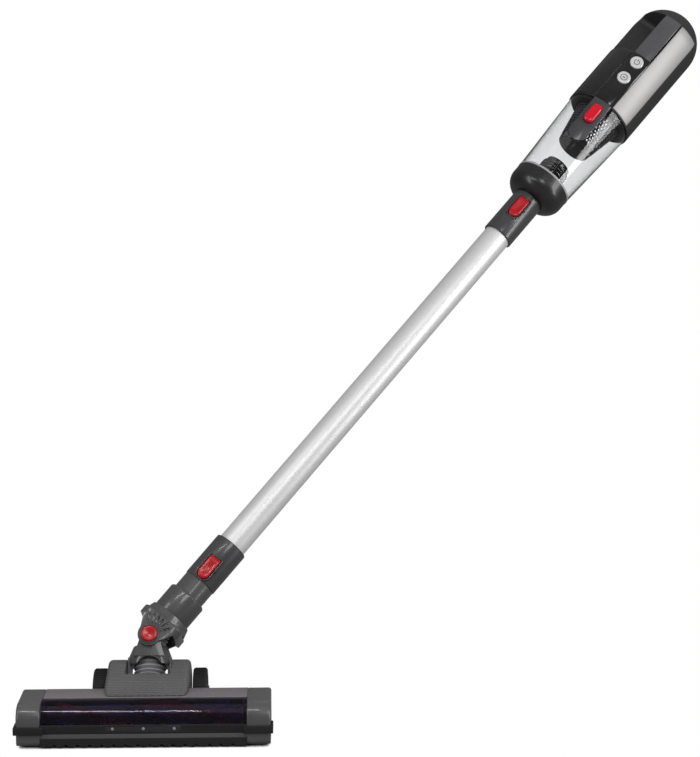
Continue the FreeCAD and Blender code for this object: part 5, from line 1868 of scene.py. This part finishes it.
@dataclass
class Studio:
    """Floor with a painted contact shadow, soft lights and the camera."""

    camera_place: Point3 = (0.1617, -1.826, 0.6645)
    camera_yaw: float = 1.49
    camera_pitch: float = 9.22
    lens: float = 87.6
    soft_light: float = 0.12
    sun_spread: float = 60.0
    sun_tilt: Point2 = (12.0, 8.0)
    floor_size: float = 60.0
    floor_drop: float = 0.5 * MM
    floor_tints: Point2 = (0.30, 0.32)
    # reach of the ambient occlusion, and the levels between which the floor's painted contact shadow fades to
    # clear
    contact: float = 0.05
    shaded: float = 0.15
    unshaded: float = 0.45

    def build(self) -> None:
        """Set up the floor, world, lights and camera."""
        self.floor()
        self.world()
        self.sun()
        for softbox in SOFTBOXES:
            softbox.hang()
        self.camera()
        bpy.context.scene.view_settings.view_transform = "Standard"
        LOG.info("studio built")

    def floor(self) -> None:
        """Wide pale floor under the head, which the camera sees only as a painted contact shadow.

        It throws light back at the object, and shows itself, grey, only where ambient occlusion finds the
        object close over it, which paints a contact shadow there; elsewhere the camera sees through it, so
        that a part which a pose carries below it stays in view.
        """
        size = self.floor_size
        corners = ((-size, -size), (size, -size), (size, size), (-size, size))
        vertices = [Vector((x, y, -self.floor_drop)) for x, y in corners]
        material, bench, shader = blank_material("floor_bounce_and_painted_shadow")
        grain = place_group(bench, Groups.grain, Grain_Scale=30.0, Relief=0.0)
        low, high = ((tint,) * 3 for tint in self.floor_tints)
        bench.feed(shader, "Base Color", mixed_colour(bench, grain.outputs["Cloud"], low, high))
        shader.inputs["Roughness"].default_value = 0.9
        shader.inputs["Specular IOR Level"].default_value = 0.0
        path = bench.add("ShaderNodeLightPath")
        # painted contact shadow: ambient occlusion decides where the grey floor shows, and it is clear
        # elsewhere
        contact_shadow_ao = bench.add("ShaderNodeAmbientOcclusion", Distance=self.contact)
        outside_painted_shadow = bench.add("ShaderNodeMapRange", Value=contact_shadow_ao.outputs["AO"], From_Min=self.shaded,
                         From_Max=self.unshaded)
        looked_at = bench.maths("MAXIMUM", path.outputs["Is Camera Ray"], path.outputs["Is Transmission Ray"])
        gone = bench.maths("MAXIMUM", path.outputs["Is Shadow Ray"],
                           bench.maths("MULTIPLY", looked_at, outside_painted_shadow.outputs["Result"]))
        through = bench.add("ShaderNodeBsdfTransparent")
        mixer = bench.add("ShaderNodeMixShader", Fac=gone)
        bench.tree.links.new(shader.outputs[0], mixer.inputs[1])
        bench.tree.links.new(through.outputs[0], mixer.inputs[2])
        end = next(node for node in bench.tree.nodes if node.type == "OUTPUT_MATERIAL")
        bench.tree.links.new(mixer.outputs[0], end.inputs["Surface"])
        mesh_piece("studio_floor", vertices, [(0, 1, 2, 3)], material)

    @staticmethod
    def seen_mask(bench: Bench) -> bpy.types.NodeSocket:
        """1 for what is seen straight or through clear plastic, 0 for light that bounced.

        Args:
            bench: the nodes to add to.

        Returns:
            The mask's socket.
        """
        path = bench.add("ShaderNodeLightPath")
        straight = bench.maths("MAXIMUM", path.outputs["Is Camera Ray"], path.outputs["Is Transmission Ray"])
        bounces = bench.maths("ADD", path.outputs["Diffuse Depth"], path.outputs["Glossy Depth"])
        return bench.maths("MULTIPLY", straight, bench.maths("LESS_THAN", bounces, 0.5))

    def world(self) -> None:
        """White surroundings that light the object only softly."""
        world = bpy.data.worlds.new("studio_white")
        world.use_nodes = True
        bench = Bench(world.node_tree)
        background = world.node_tree.nodes["Background"]
        strength = bench.maths("MULTIPLY_ADD", self.seen_mask(bench), 1.0 - self.soft_light, self.soft_light)
        background.inputs["Color"].default_value = (1.0, 1.0, 1.0, 1.0)
        bench.feed(background, "Strength", strength)
        bpy.context.scene.world = world

    def sun(self) -> None:
        """Broad light from above, which polished faces don't mirror."""
        data = bpy.data.lights.new("top_soft", "SUN")
        data.energy = 1.0
        data.angle = math.radians(self.sun_spread)
        lamp = linked("top_soft", data)
        lamp.rotation_euler = (math.radians(self.sun_tilt[0]), math.radians(self.sun_tilt[1]), 0.0)
        lamp.visible_glossy = False

    def camera(self) -> None:
        """The camera, looking slightly down from the front."""
        data = bpy.data.cameras.new("camera")
        data.lens = self.lens
        data.sensor_width = 36.0
        data.clip_end = 60.0
        camera = linked("camera", data)
        camera.location = self.camera_place
        camera.rotation_euler = (math.radians(90.0 - self.camera_pitch), 0.0, math.radians(-self.camera_yaw))
        bpy.context.scene.camera = camera


def main() -> None:
    """Build the vacuum's looks piece by piece."""
    logging.basicConfig(level=logging.INFO, format="%(name)s: %(message)s")
    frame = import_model()
    shop = Shop(frame)
    FloorHead(shop).build()
    Swivel(shop).build()
    Wand(shop).build()
    DustBin(shop).build()
    HandUnit(shop).build()
    Studio().build()


if __name__ == "__main__":
    main()
